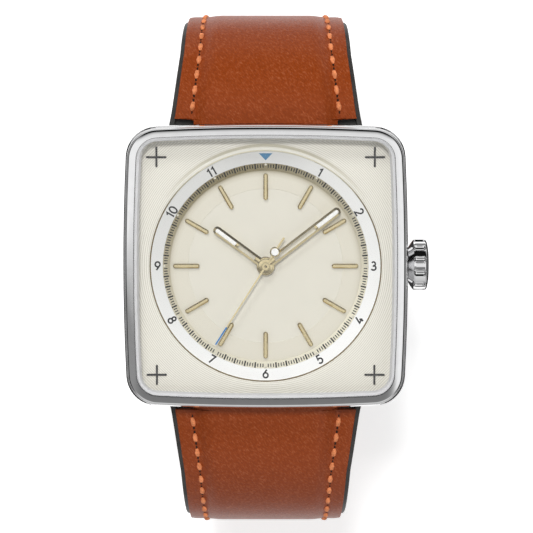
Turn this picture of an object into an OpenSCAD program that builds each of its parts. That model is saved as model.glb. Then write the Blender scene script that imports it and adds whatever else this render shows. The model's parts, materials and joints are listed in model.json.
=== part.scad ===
/* [Case] */
// Width of the case across its flats
case_w = 36; // [35.4:0.2:37]
// How far each side of the case bows out from corner to corner
side_bow = 0.35; // [0.25:0.05:0.5]
// Corner radius of the case
corner_r = 3.9; // [3.6:0.1:4.4]
// Height of the case middle's top above the back
case_top = 8.6; // [8.4:0.1:9]
// Width of the bezel's polished face
bezel_face = 1.15; // [1:0.05:1.3]
// Height of the bezel above the case middle
bezel_h = 1.7; // [1.5:0.1:2]
// Width of the crystal's bevelled rim
crystal_rim = 0.5; // [0.4:0.05:0.6]
// Thickness of the crystal
crystal_t = 1.45; // [1.3:0.05:1.6]
// Width of the case back's ring round its window
back_ring = 3.1; // [2.6:0.1:3.6]
/* [Crown] */
// Diameter of the crown
crown_d = 6.45; // [5.8:0.1:6.7]
// Length of the crown
crown_l = 2.7; // [2.4:0.1:3]
// Number of flutes round the crown
crown_flutes = 12; // [8:1:16]
// How far the crown pulls out to set the hands
crown_travel = 0.8; // [0.6:0.1:1]
/* [Dial] */
// Distance from the case's side to the round opening in the dial plate
dial_margin = 3.4; // [3.2:0.1:3.6]
// Width of the white chapter ring
chapter_w = 1.55; // [1.4:0.05:1.7]
// Width of the sloped minute track
track_w = 0.9; // [0.75:0.05:1]
// Distance from the case's sides to the middle of each corner cross
cross_in = 4.2; // [4:0.1:4.6]
// Span of each corner cross
cross_span = 2.64; // [2.2:0.1:2.8]
// Width of each corner cross's bars
cross_bar = 0.22; // [0.18:0.02:0.3]
// Length of the hour markers
marker_l = 3.3; // [2.8:0.1:3.4]
// Width of the hour markers
marker_w = 0.57; // [0.4:0.05:0.7]
/* [Hands] */
// Gap between the hour hand's tip and the hour markers
hour_gap = 0.55; // [0.3:0.05:1.5]
// Gap between the minute hand's tip and the minute track
minute_gap = 0.35; // [0.2:0.05:1]
// Gap between the seconds hand's tip and the minute track
seconds_gap = 0.39; // [0.2:0.01:1]
// Width of the hour hand
hour_w = 0.76; // [0.6:0.02:0.9]
// Width of the minute hand
minute_w = 0.82; // [0.7:0.02:0.95]
// Width of the seconds hand
seconds_w = 0.23; // [0.18:0.01:0.3]
// Thickness of each hand
hand_t = 0.16; // [0.12:0.01:0.2]
/* [Movement] */
// Distance from the case's side to the movement
mov_margin = 5.2; // [5.1:0.05:5.4]
// Thickness of the main plate
plate_t = 1.5; // [1.4:0.05:1.6]
// Thickness of the train's thin wheels
wheel_t = 0.12; // [0.1:0.01:0.14]
// Radius of the balance wheel in a movement of 12.8 radius
balance_drawn_r = 4.1; // [3.8:0.1:4.1]
// Turns of the hairspring
hair_turns = 4; // [3:1:4]
/* [Strap] */
// Width of the strap between the hidden lugs
lug_w = 20; // [19:0.5:21]
// Width of the strap's shoulders against the case
strap_w0 = 24.9; // [24:0.1:26]
// Width of the strap once the shoulders have narrowed
strap_w1 = 20.5; // [20:0.1:21.5]
// Width of the strap at the buckle
strap_w2 = 18; // [16:0.5:19]
// Thickness of the lining
lining_t = 1; // [0.8:0.1:1.2]
// Thickness of the leather's padded middle near the case
pad_h = 2.9; // [2.4:0.1:3.2]
// Thickness of the leather past the padding
leather_t = 1.3; // [1.1:0.1:1.5]
// How far the closed strap leans towards 6 o'clock
strap_lean = 1.25; // [0:0.05:1.5]
// Width of the black edge left showing beside the leather
edge_w = 0.55; // [0.4:0.05:0.7]
// Distance between the strap's holes
hole_pitch = 6.5; // [6:0.25:7]
// Diameter of the strap's holes
hole_d = 1.8; // [1.6:0.1:2]
// Width of each keeper along the strap
keeper_w = 4.2; // [3.6:0.1:4.6]
/* [Hidden] */
$fn = 96;
// Clearance between parts that slide or turn on each other
run = 0.04;
// Clearance between parts that only lie side by side
gap = 0.1;

// Heights, from the outer face of the case back upwards
back_t = 1.2;
rotor_t = 0.25;
gear_t = 0.2;
auto_t = 0.45;
bridge_t = 0.6;
rotor_z = back_t + gap;
gear_z = rotor_z + rotor_t + 0.05;
auto_z = gear_z + gear_t + 0.05;
bridge_z = auto_z + auto_t;
fourth_z = bridge_z + bridge_t + gap;
ratchet_z = fourth_z + wheel_t + 0.06;
third_z = fourth_z + wheel_t + gap;
centre_z = third_z + wheel_t + gap;
barrel_bridge_z = ratchet_z + gear_t + 0.06;
barrel_z = barrel_bridge_z + bridge_t + gap;
barrel_h = 1.35;
balance_z = bridge_z + bridge_t + 0.4;
balance_t = 0.3;
pallet_bridge_z = balance_z + balance_t + 0.15;
pallet_z = pallet_bridge_z + 0.2;
plate_z = pallet_z + 0.57;
dial_z = plate_z + plate_t;
stem_z = plate_z + 0.12;
motion_z = dial_z - 0.55;

// The movement's radius, and how far its plan departs from the drawn one of 12.8
mov_r = case_w / 2 - mov_margin;
plan = mov_r / 12.8;

// Plan positions of the wheels, by distance and angle from the centre
function polar(r, a) = [r * cos(a), r * sin(a)];
third_mod = 0.1 * plan;
centre_teeth = 64;
third_pinion_teeth = 8;
third_d = (centre_teeth + third_pinion_teeth) / 2 * third_mod;
third_at = polar(third_d, 310);
fourth_pinion_teeth = 8;
third_teeth = 60;
fourth_mod = 2 * third_d / (third_teeth + fourth_pinion_teeth);
fourth_teeth = 84;
escape_pinion_teeth = 7;
escape_mod = 0.08 * plan;
escape_d = (fourth_teeth + escape_pinion_teeth) / 2 * escape_mod;
escape_at = polar(escape_d, 230);
escape_r = 2 * plan;
balance_r = balance_drawn_r * plan;
balance_from_escape = balance_r + 0.5 * plan;
balance_at = polar(escape_d + balance_from_escape, 230);
pallet_from_escape = 2.55 * plan;
pallet_at = polar(escape_d + pallet_from_escape, 230);
barrel_teeth = 90;
centre_pinion_teeth = 12;
barrel_mod = 0.12 * plan;
barrel_d = (barrel_teeth + centre_pinion_teeth) / 2 * barrel_mod;
barrel_at = polar(barrel_d, 45);
barrel_r = barrel_teeth / 2 * barrel_mod;
ratchet_teeth = 45;
crown_wheel_teeth = 26;
ratchet_mod = 0.16 * plan;
ratchet_r = ratchet_teeth / 2 * ratchet_mod;
crown_wheel_r = crown_wheel_teeth / 2 * ratchet_mod;
crown_wheel_at = [
  barrel_at[0] + sqrt(pow(ratchet_r + crown_wheel_r, 2) - pow(barrel_at[1], 2)), 0
];
winding_teeth = 18;
winding_tip = stem_z - ratchet_z - gear_t + 0.03;
winding_mod = 2 * winding_tip / (winding_teeth + 1.2);
winding_x = crown_wheel_at[0] + crown_wheel_r;
rotor_gear_teeth = 40;
reverser_teeth = 34;
reverser_mod = 0.1 * plan;
reverser_pinion_teeth = 8;
reverser_d = (rotor_gear_teeth + reverser_teeth) / 2 * reverser_mod;
reverser_pinion_d = (ratchet_teeth + reverser_pinion_teeth) / 2 * ratchet_mod;
reverser_a = 45 + acos((pow(reverser_d, 2) + pow(barrel_d, 2) - pow(reverser_pinion_d, 2))
  / (2 * reverser_d * barrel_d));
reverser_at = polar(reverser_d, reverser_a);
minute_mod = 0.09 * plan;
cannon_teeth = 12;
minute_wheel_teeth = 36;
minute_wheel_d = (cannon_teeth + minute_wheel_teeth) / 2 * minute_mod;
minute_wheel_at = polar(minute_wheel_d, 200);
hour_wheel_teeth = 40;
hour_pinion_teeth = 10;
hour_mod = 2 * minute_wheel_d / (hour_wheel_teeth + hour_pinion_teeth);

// Radii of the case's inside and of the movement
bore_r = mov_r + 0.8;
ring_r = bore_r - 0.02;
back_r = bore_r + 0.5;
window_r = back_r - back_ring;
// Radii of the dial's rings and of the markers' ends
dial_hole_r = case_w / 2 - dial_margin;
chapter_r = dial_hole_r - chapter_w;
track_r = chapter_r - track_w;
marker_r1 = track_r - 0.25;
marker_r0 = marker_r1 - marker_l;
cross_at = case_w / 2 - cross_in;
hour_len = marker_r0 - hour_gap;
minute_len = track_r - minute_gap;
seconds_len = track_r - seconds_gap;

// Widths of the dial opening and of what lies round it
bezel_w = case_w - 0.5;
crystal_w = bezel_w - 2 * bezel_face - 0.1;
opening_w = crystal_w - 2 * crystal_rim;
opening_r = corner_r - bezel_face - crystal_rim + 0.05;
seat_w = opening_w + 1;
seat_r = opening_r + 0.5;
bezel_top = case_top + bezel_h;
crystal_z = case_top + bezel_h - crystal_t + 0.2;

// Heights of the dial's layers
centre_t = 0.35;
flange_t = 0.5;
chapter_t = 0.3;
chapter_z = dial_z + flange_t;
chapter_top = chapter_z + chapter_t;
plate_top = chapter_top + 0.35;
dial_top = dial_z + centre_t;

// Heights of the hands above the dial's layers
hour_z = chapter_top + 0.25;
minute_z = hour_z + hand_t + 0.22;
seconds_z = minute_z + hand_t + 0.22;
hour_angle = 306.4;
minute_angle = 52.4;
seconds_angle = 212.6;

// Points of a square outline with bowed sides and round corners
function side_r(w, bow, r) = (pow(w / 2 - r, 2) + pow(bow, 2)) / (2 * bow);
function corner_c(d, rr) = (-d + sqrt(2 * rr * rr - d * d)) / 2;
function quarter(d, rs, r, c, ns, nc) = let (a = atan2(c, c + d)) concat(
  [for (i = [0 : ns]) let (t = -a + 2 * a * i / ns) [rs * cos(t) - d, rs * sin(t)]],
  [for (i = [1 : nc - 1]) let (t = a + (90 - 2 * a) * i / nc) [c + r * cos(t), c + r * sin(t)]]
);
function turn(p, a) = [p[0] * cos(a) - p[1] * sin(a), p[0] * sin(a) + p[1] * cos(a)];
function cushion(w, r, bow = side_bow, ns = 8, nc = 9) =
  let (rs = side_r(w, bow, r), d = rs - w / 2, c = corner_c(d, rs - r))
  [for (k = [0 : 3]) for (p = quarter(d, rs, r, c, ns, nc)) turn(p, 90 * k)];

// A stack of outlines, each with its height, joined into one solid
module loft(outlines, heights, ring = false) {
  n = len(outlines[0]);
  m = len(outlines);
  points = [for (k = [0 : m - 1]) for (p = outlines[k]) [p[0], p[1], heights[k]]];
  last = ring ? m - 1 : m - 2;
  sides = [for (k = [0 : last]) for (i = [0 : n - 1])
    let (a = k * n + i, b = k * n + (i + 1) % n, k2 = (k + 1) % m,
      c = k2 * n + (i + 1) % n, d = k2 * n + i)
    each [[a, c, b], [a, d, c]]];
  caps = ring ? [] : [
    [for (i = [0 : n - 1]) i],
    [for (i = [0 : n - 1]) (m - 1) * n + n - 1 - i]
  ];
  polyhedron(points = points, faces = concat(sides, caps), convexity = 6);
}

// A straight-sided block with the bowed outline
module cushion_block(w, r, z0, z1) {
  translate([0, 0, z0]) linear_extrude(height = z1 - z0) polygon(cushion(w, r));
}

// A disc or ring about the vertical axis
module ring(r0, r1, z0, z1) {
  translate([0, 0, z0]) difference() {
    cylinder(r = r1, h = z1 - z0);
    if (r0 > 0) translate([0, 0, -1]) cylinder(r = r0, h = z1 - z0 + 2);
  }
}

// A plain upright pin
module pin(at, r, z0, z1) {
  translate([at[0], at[1], z0]) cylinder(r = r, h = z1 - z0, $fn = 32);
}

// Case

pocket_y = bore_r + 0.6;
pocket_top = 5.4;
bar_y = case_w / 2 - 1.8;
bar_z = 3.2;
bar_r = 0.75;
bar_pin_r = 0.4;
tongue_r = 1.5;
crown_gap = 0.1;
crown_in = crown_travel + 0.5;
tube_r = 1.25;
tube_in_r = 0.85;
stem_r = 0.45;

module case_middle() {
  color([0.78, 0.78, 0.8]) difference() {
    loft(
      [cushion(case_w - 5.6, corner_r), cushion(case_w - 1.8, corner_r),
        cushion(case_w - 0.5, corner_r), cushion(case_w, corner_r), cushion(case_w, corner_r),
        cushion(case_w - 0.3, corner_r)],
      [back_t, 2.4, 3.5, 4.8, case_top - 0.3, case_top]);
    translate([0, 0, back_t - 1]) cylinder(r = bore_r, h = dial_z - back_t + 2);
    cushion_block(seat_w + 2 * run, seat_r, dial_z, case_top + 1);
    for (s = [-1, 1]) {
      translate([-lug_w / 2 - gap, s > 0 ? pocket_y : -pocket_y - 8, back_t - 1])
        cube([lug_w + 2 * gap, 8, pocket_top - back_t + 1]);
      translate([-lug_w / 2 - 1, s * bar_y, bar_z]) rotate([0, 90, 0])
        cylinder(r = bar_pin_r + run, h = lug_w + 2, $fn = 32);
    }
    translate([bore_r - 1, 0, stem_z]) rotate([0, 90, 0]) cylinder(r = tube_r, h = case_w, $fn = 48);
  }
}

module bezel() {
  face = bezel_face;
  color([0.8, 0.8, 0.82]) loft(
    [cushion(opening_w, opening_r), cushion(seat_w - 2 * run, seat_r),
      cushion(seat_w - 2 * run, seat_r), cushion(bezel_w, corner_r), cushion(bezel_w, corner_r),
      cushion(bezel_w - 0.24, corner_r - 0.08), cushion(bezel_w - 0.9, corner_r - 0.4),
      cushion(bezel_w - 2 * face, corner_r - face), cushion(bezel_w - 2 * face, corner_r - face),
      cushion(opening_w, opening_r)],
    [plate_top + 0.02, plate_top + 0.02, case_top, case_top, bezel_top - 0.55, bezel_top - 0.22,
      bezel_top - 0.04, bezel_top, crystal_z - 0.2, crystal_z - 0.2], ring = true);
}

module crystal() {
  w = crystal_w;
  r = corner_r - bezel_face - 0.05;
  top = crystal_z + crystal_t;
  color([0.9, 0.95, 1, 0.25]) loft(
    [cushion(w, r), cushion(w, r), cushion(w - 0.5, r - 0.25), cushion(w - 1.6, r - 0.6)],
    [crystal_z, top - 0.3, top - 0.06, top]);
}

module crystal_gasket() {
  w = crystal_w - 0.04;
  r = corner_r - bezel_face - 0.07;
  color([0.85, 0.85, 0.85]) loft(
    [cushion(opening_w + 0.1, opening_r), cushion(w, r), cushion(w, r),
      cushion(opening_w + 0.1, opening_r)],
    [crystal_z - 0.2, crystal_z - 0.2, crystal_z, crystal_z], ring = true);
}

notch_count = 6;
module case_back() {
  boss_r = bore_r - run;
  color([0.76, 0.76, 0.78]) difference() {
    rotate_extrude() polygon([
      [window_r + 0.03, 0], [back_r - 0.5, 0], [back_r, 0.4], [back_r, back_t],
      [boss_r, back_t], [boss_r, back_t + 0.8], [mov_r + gap, back_t + 0.8], [mov_r + gap, back_t],
      [window_r - 0.6, back_t], [window_r - 0.6, back_t - 0.25], [window_r + 0.03, back_t - 0.25]
    ]);
    for (i = [0 : notch_count - 1]) rotate([0, 0, 30 + 360 / notch_count * i])
      translate([back_r - 1, -0.9, -1]) cube([3, 1.8, 1.5]);
  }
}

module back_window() {
  color([0.9, 0.95, 1, 0.25]) ring(0, window_r, 0, back_t - 0.27);
}

module back_gasket() {
  color([0.1, 0.1, 0.1]) ring(mov_r + gap, mov_r + 0.4, back_t + 0.8, back_t + 1.1);
}

module crown_tube() {
  color([0.7, 0.7, 0.72]) translate([bore_r + 0.2, 0, stem_z]) rotate([0, 90, 0]) difference() {
    union() {
      cylinder(r = tube_r - 0.01, h = case_w / 2 - bore_r - 0.2, $fn = 48);
      translate([0, 0, case_w / 2 - bore_r - 0.2]) cylinder(r = tube_r - 0.2, h = crown_in - 0.1, $fn = 48);
    }
    translate([0, 0, -1]) cylinder(r = tube_in_r, h = 9, $fn = 48);
  }
}

module movement_ring() {
  color([0.9, 0.9, 0.88]) difference() {
    ring(mov_r + 0.02, ring_r, back_t + 1.15, dial_z - 0.02);
    translate([mov_r - 2, 0, stem_z]) rotate([0, 90, 0])
      cylinder(r = stem_r + 0.4, h = 6, $fn = 32);
  }
}

module spring_bars() {
  color([0.75, 0.75, 0.78]) for (s = [-1, 1])
    translate([0, s * bar_y, bar_z]) rotate([0, 90, 0]) {
      translate([0, 0, -lug_w / 2]) cylinder(r = bar_r, h = lug_w, $fn = 32);
      translate([0, 0, -lug_w / 2 - 0.8]) cylinder(r = bar_pin_r, h = lug_w + 1.6, $fn = 32);
    }
}

// Dial

module dial_plate() {
  hole = dial_hole_r;
  color([0.87, 0.85, 0.79]) difference() {
    cushion_block(seat_w, seat_r, dial_z, plate_top);
    translate([0, 0, dial_z - 1]) cylinder(r = mov_r + 0.1, h = 4);
    translate([0, 0, chapter_z]) cylinder(r = hole, h = 4);
    rotate_extrude() polygon([
      [hole - 0.5, plate_top - 0.18], [hole, plate_top - 0.18], [hole + 0.12, plate_top - 0.07],
      [hole + 0.42, plate_top], [hole + 0.42, plate_top + 0.2], [hole - 0.5, plate_top + 0.2]
    ]);
  }
}

module chapter_ring() {
  color([0.93, 0.93, 0.93]) ring(chapter_r, dial_hole_r - 0.03, chapter_z, chapter_top);
}

module minute_track() {
  color([0.78, 0.7, 0.5]) rotate_extrude() polygon([
    [track_r, dial_top], [mov_r, dial_top], [mov_r, chapter_z], [chapter_r - 0.01, chapter_z],
    [chapter_r - 0.01, chapter_top - 0.02], [track_r, dial_top + 0.12]
  ]);
}

module dial_centre() {
  color([0.87, 0.86, 0.79]) {
    difference() {
      ring(1.15, mov_r, dial_z, dial_top);
      translate([0, 0, dial_top - 0.04]) cylinder(r = marker_r0 - 0.1, h = 1);
    }
    for (a = [100, 280]) pin(polar(mov_r - 0.9, a), 0.35, dial_z - 0.5, dial_z);
  }
}

marker_h = 0.5;
module hour_markers() {
  half = marker_w / 2;
  color([0.85, 0.75, 0.5]) for (i = [0 : 11]) rotate([0, 0, 30 * i]) difference() {
    union() {
      translate([-half, marker_r0 + half, dial_top]) cube([marker_w, marker_r1 - marker_r0 - marker_w,
        marker_h]);
      for (y = [marker_r0 + half, marker_r1 - half]) pin([0, y], half, dial_top, dial_top + marker_h);
    }
    for (s = [-1, 1]) translate([s * half, marker_r0 - 1, dial_top + marker_h]) rotate([0, 45, 0])
      translate([-0.1, 0, -0.1]) cube([0.2, marker_r1 - marker_r0 + 2, 0.2]);
  }
}

module corner_crosses() {
  h = 0.14;
  end = cross_span / 2 - cross_bar / 2;
  color([0.12, 0.12, 0.12]) for (x = [-1, 1]) for (y = [-1, 1])
    translate([x * cross_at, y * cross_at, plate_top]) union() {
      for (a = [0, 90]) rotate([0, 0, a]) {
        translate([-end, -cross_bar / 2, 0]) cube([2 * end, cross_bar, h]);
        for (e = [-end, end]) pin([e, 0], cross_bar / 2, 0, h);
      }
    }
}

// Movement

// Outline of a toothed wheel with a tooth centred on the phase angle
function teeth(n, m, phase, tip = 0.12, root = 0.27) = let (p = 360 / n, r = n * m / 2)
  [for (i = [0 : n - 1]) let (a = phase + p * i)
    each [polar(r - 0.75 * m, a - root * p), polar(r + 0.6 * m, a - tip * p),
      polar(r + 0.6 * m, a + tip * p), polar(r - 0.75 * m, a + root * p)]];
// Phase of the second of two wheels in mesh along a direction
function mesh(phase, n1, n2, dir) = dir + 180 + 180 / n2 + (dir - phase) * n1 / n2;
// Outline of one window between a wheel's arms
function window(r0, r1, a0, a1, k = 6) = concat(
  [for (i = [0 : k]) polar(r1, a0 + (a1 - a0) * i / k)],
  [for (i = [0 : k]) polar(r0, a1 - (a1 - a0) * i / k)]);

module wheel(at, z, t, n, m, phase, hub = 0.7, rim = 0.35, arms = 4, bore = 0) {
  translate([at[0], at[1], z]) difference() {
    linear_extrude(height = t) polygon(teeth(n, m, phase));
    if (arms > 0) for (i = [0 : arms - 1]) translate([0, 0, -1]) linear_extrude(height = t + 2)
      polygon(window(hub, n * m / 2 - m - rim, 360 / arms * i + 12, 360 / arms * (i + 1) - 12));
    if (bore > 0) translate([0, 0, -1]) cylinder(r = bore, h = t + 2, $fn = 32);
  }
}

module pinion(at, z, t, n, m, phase) {
  translate([at[0], at[1], z]) linear_extrude(height = t) polygon(teeth(n, m, phase, 0.14, 0.24));
}

jewel_r = 0.45;
jewel_t = 0.3;
pivot_r = 0.1;
arbor_r = 0.18;
screw_r = 0.3;
screw_head_r = 0.7;
screw_head_t = 0.2;
pillar_r = 1.2;
train_pillars = [polar(mov_r - 1.5, 332), polar(mov_r - 1.5, 285)];
cock_pillar = polar(mov_r - 2.2, 195);
barrel_pillars = [polar(mov_r - 1.5, 85), polar(mov_r - 1.3, 16)];
auto_legs = [polar(mov_r - 2, 72), polar(mov_r - 2.4, 27)];
auto_foot = polar(mov_r - 4.8, 310);
train_jewels = [third_at, escape_at];

// An arbor between two pivots
module arbor(at, z0, z1) {
  pin(at, arbor_r, z0 + 0.05, z1 - 0.05);
  pin(at, pivot_r, z0 - 0.25, z1 + 0.25);
}

// A hole for a screw, entered from the back
module screw_hole(at, z, depth) {
  pin(at, screw_head_r + 0.02, z - 1, z + screw_head_t);
  pin(at, screw_r, z - 1, z + depth);
}

module screw(at, z, len) {
  difference() {
    union() {
      pin(at, screw_head_r, z, z + screw_head_t);
      pin(at, screw_r, z + screw_head_t, z + len);
    }
    translate([at[0] - 1, at[1] - 0.08, z - 1]) cube([2, 0.16, 1.1]);
  }
}

module main_plate() {
  color([0.8, 0.76, 0.6]) difference() {
    translate([0, 0, plate_z]) cylinder(r = mov_r, h = plate_t);
    pin([0, 0], 1, plate_z - 1, barrel_z + 1.1);
    pin([0, 0], 0.4 + run, plate_z - 1, dial_z + 1);
    pin(barrel_at, barrel_r + 0.25, plate_z - 1, barrel_z + barrel_h + gap);
    pin(barrel_at, 0.45 + run, plate_z - 1, dial_z - 0.15);
    for (p = [third_at, escape_at, pallet_at, balance_at])
      pin(p, jewel_r, plate_z - 1, plate_z + jewel_t);
    pin([0, 0], hour_wheel_teeth * hour_mod / 2 + 0.25, motion_z - 0.05, dial_z + 1);
    pin(minute_wheel_at, minute_wheel_teeth * minute_mod / 2 + 0.2, motion_z - 0.3, dial_z + 1);
    pin(minute_wheel_at, pivot_r + 0.02, plate_z + 0.4, dial_z);
    translate([winding_x - 3.2, 0, stem_z]) rotate([0, 90, 0]) cylinder(r = 1.1, h = 3, $fn = 48);
    translate([winding_x - 0.3, -winding_tip - 0.1, plate_z - 1])
      cube([1.1, 2 * winding_tip + 0.2, plate_t + 2]);
    translate([winding_x - 3.2, 0, stem_z]) rotate([0, 90, 0])
      cylinder(r = stem_r + run, h = 9, $fn = 48);
    for (p = concat(train_pillars, barrel_pillars, [cock_pillar])) pin(p, screw_r, plate_z - 1,
      plate_z + 0.9);
    for (a = [100, 280]) pin(polar(mov_r - 0.9, a), 0.37, dial_z - 0.55, dial_z + 1);
  }
}

module barrel_bridge() {
  z = barrel_bridge_z;
  color([0.8, 0.8, 0.82]) difference() {
    union() {
      intersection() {
        translate([0, 0, z]) cylinder(r = mov_r - 0.4, h = bridge_t);
        translate([0, 0, z]) linear_extrude(height = bridge_t) polygon(
          [[0, 0], polar(30, 4), polar(30, 40), polar(30, 70), polar(30, 98)]);
      }
      pin(crown_wheel_at, 1.9, z, z + bridge_t);
      for (p = barrel_pillars) pin(p, pillar_r, z + bridge_t, plate_z);
    }
    pin([0, 0], 3.9 * plan, z - 1, z + 3);
    pin(barrel_at, 0.45 + run, z - 1, z + 3);
    translate([winding_x - 3.2, 0, stem_z]) rotate([0, 90, 0]) cylinder(r = 1.1, h = 8, $fn = 48);
    translate([winding_x - 0.3, -winding_tip - 0.1, z - 1])
      cube([1.1, 2 * winding_tip + 0.2, 4]);
    for (p = barrel_pillars) screw_hole(p, z, 3);
    for (p = auto_legs) pin(p, screw_r, z - 1, z + bridge_t);
    pin(crown_wheel_at, 0.3, z - 1, z + 0.25);
  }
}

module train_bridge() {
  z = bridge_z;
  color([0.82, 0.82, 0.84]) difference() {
    union() {
      pin([0, 0], 4.3 * plan, z, z + bridge_t);
      intersection() {
        translate([0, 0, z]) cylinder(r = mov_r - 0.4, h = bridge_t);
        translate([0, 0, z]) linear_extrude(height = bridge_t) polygon(
          [[0, 0], polar(30, 268), polar(30, 300), polar(30, 344)]);
      }
      for (p = train_pillars) pin(p, pillar_r, z + bridge_t, plate_z);
    }
    pin(balance_at, balance_r + 0.15, z - 1, z + 3);
    pin(reverser_at, 0.5, z - 1, z + 3);
    pin([0, 0], jewel_r, z - 1, z + 3);
    for (p = train_jewels) pin(p, jewel_r, z - 1, z + 3);
    for (p = train_pillars) screw_hole(p, z, 4);
    pin(auto_foot, screw_r, z - 1, z + 0.5);
  }
}

module automatic_bridge() {
  z = auto_z;
  color([0.84, 0.84, 0.86]) difference() {
    union() {
      pin([0, 0], 3 * plan, z, z + auto_t);
      for (p = concat(auto_legs, [auto_foot])) {
        translate([0, 0, z]) rotate([0, 0, atan2(p[1], p[0])]) translate([0, -0.9, 0])
          cube([norm(p), 1.8, auto_t]);
        pin(p, 1.1, z, z + auto_t);
      }
      translate([0, 0, z]) rotate([0, 0, reverser_a]) translate([0, -1, 0])
        cube([reverser_d, 2, auto_t]);
      pin(reverser_at, 1, z, z + auto_t);
      for (p = auto_legs) pin(p, 0.95, z + auto_t, barrel_bridge_z);
    }
    pin(reverser_at, arbor_r + run, z - 1, z + 3);
    pin([0, 0], 0.5, z - 1, z + 0.3);
    for (p = concat(auto_legs, [auto_foot])) screw_hole(p, z, 3);
  }
}

module balance_cock() {
  z = bridge_z;
  arm = balance_at - cock_pillar;
  color([0.82, 0.82, 0.84]) difference() {
    union() {
      translate([cock_pillar[0], cock_pillar[1], z]) rotate([0, 0, atan2(arm[1], arm[0])])
        translate([0, -1, 0]) cube([norm(arm), 2, bridge_t]);
      pin(cock_pillar, pillar_r + 0.2, z, z + bridge_t);
      pin(balance_at, 1.5, z, z + bridge_t);
      pin(cock_pillar, pillar_r, z + bridge_t, plate_z);
    }
    pin(balance_at, jewel_r, z - 1, z + 3);
    screw_hole(cock_pillar, z, 3);
  }
}

module pallet_bridge() {
  z = pallet_bridge_z;
  color([0.8, 0.8, 0.82]) difference() {
    union() {
      translate([pallet_at[0], pallet_at[1], z]) rotate([0, 0, 140]) translate([-1.9, -0.45, 0])
        cube([3.8, 0.9, 0.15]);
      for (a = [140, 320]) pin(pallet_at + polar(1.9, a), 0.45, z, plate_z);
    }
    pin(pallet_at, pivot_r + 0.02, z - 1, z + 1);
  }
}

module bridge_screws() {
  color([0.25, 0.35, 0.6]) {
    for (p = train_pillars) screw(p, bridge_z, plate_z + 0.85 - bridge_z);
    screw(cock_pillar, bridge_z, plate_z + 0.85 - bridge_z);
    for (p = barrel_pillars) screw(p, barrel_bridge_z, plate_z + 0.85 - barrel_bridge_z);
    for (p = auto_legs) screw(p, auto_z, barrel_bridge_z + bridge_t - auto_z - 0.05);
    screw(auto_foot, auto_z, auto_t + 0.45);
  }
}

module jewels() {
  color([0.75, 0.1, 0.2]) {
    for (p = concat(train_jewels, [[0, 0], balance_at]))
      translate([p[0], p[1], 0]) ring(pivot_r + 0.02, jewel_r, bridge_z, bridge_z + bridge_t);
    for (p = [third_at, escape_at, pallet_at, balance_at])
      translate([p[0], p[1], 0]) ring(pivot_r + 0.02, jewel_r, plate_z, plate_z + jewel_t);
  }
}

module rotor_bearing() {
  color([0.7, 0.7, 0.72]) difference() {
    union() {
      pin([0, 0], 1.3, rotor_z - 0.24, rotor_z - 0.04);
      pin([0, 0], 0.96, rotor_z - 0.1, auto_z);
      pin([0, 0], 0.5, auto_z - 0.1, auto_z + 0.28);
    }
    translate([-1.5, -0.12, rotor_z - 1.12]) cube([3, 0.24, 1]);
  }
}

module rotor() {
  rim_h = auto_z - 0.05 - rotor_z;
  color([0.8, 0.8, 0.78]) difference() {
    union() {
      difference() {
        translate([0, 0, rotor_z]) cylinder(r = mov_r - 0.5, h = rotor_t);
        translate([0, 0, rotor_z - 1]) linear_extrude(height = 3) polygon(window(0, 20, 5, 175, 8));
      }
      difference() {
        ring(mov_r - 2.6, mov_r - 0.5, rotor_z, rotor_z + rim_h);
        translate([0, 0, rotor_z - 1]) linear_extrude(height = 3) polygon(window(0, 20, 5, 175, 8));
      }
      pin([0, 0], 1.9, rotor_z, gear_z);
      translate([0, 0, gear_z - 0.02]) linear_extrude(height = gear_t + 0.02)
        polygon(teeth(rotor_gear_teeth, reverser_mod, reverser_a));
    }
    pin([0, 0], 1, rotor_z - 1, auto_z + 1);
    for (a = [215, 325]) translate([0, 0, rotor_z - 1]) linear_extrude(height = 3)
      polygon(window(3.2 * plan, mov_r - 3.6, a - 22, a + 22));
    translate([0, 0, rotor_z - 1]) linear_extrude(height = 3)
      polygon(window(3.2 * plan, mov_r - 3.6, 250, 290));
  }
}

module reverser_wheel() {
  color([0.8, 0.4, 0.45]) wheel(reverser_at, gear_z, gear_t, reverser_teeth, reverser_mod,
    mesh(reverser_a, rotor_gear_teeth, reverser_teeth, reverser_a), arms = 0,
    bore = arbor_r + 0.02);
}

ratchet_dir = atan2(crown_wheel_at[1] - barrel_at[1], crown_wheel_at[0] - barrel_at[0]);
module reverser_pinion() {
  dir = atan2(reverser_at[1] - barrel_at[1], reverser_at[0] - barrel_at[0]);
  color([0.85, 0.75, 0.5]) {
    pin(reverser_at, arbor_r, gear_z - 0.02, ratchet_z + gear_t);
    pinion(reverser_at, ratchet_z, gear_t, reverser_pinion_teeth, ratchet_mod,
      mesh(ratchet_dir, ratchet_teeth, reverser_pinion_teeth, dir));
  }
}

module ratchet_wheel() {
  color([0.8, 0.8, 0.82]) {
    wheel(barrel_at, ratchet_z, gear_t, ratchet_teeth, ratchet_mod, ratchet_dir, arms = 0);
    pin(barrel_at, 0.45, ratchet_z + gear_t - 0.02, dial_z - 0.2);
  }
}

module crown_wheel() {
  color([0.8, 0.8, 0.82]) {
    wheel(crown_wheel_at, ratchet_z, gear_t, crown_wheel_teeth, ratchet_mod,
      mesh(ratchet_dir, ratchet_teeth, crown_wheel_teeth, ratchet_dir), arms = 0);
    pin(crown_wheel_at, 0.28, ratchet_z + gear_t - 0.02, barrel_bridge_z + 0.23);
  }
}

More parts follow.
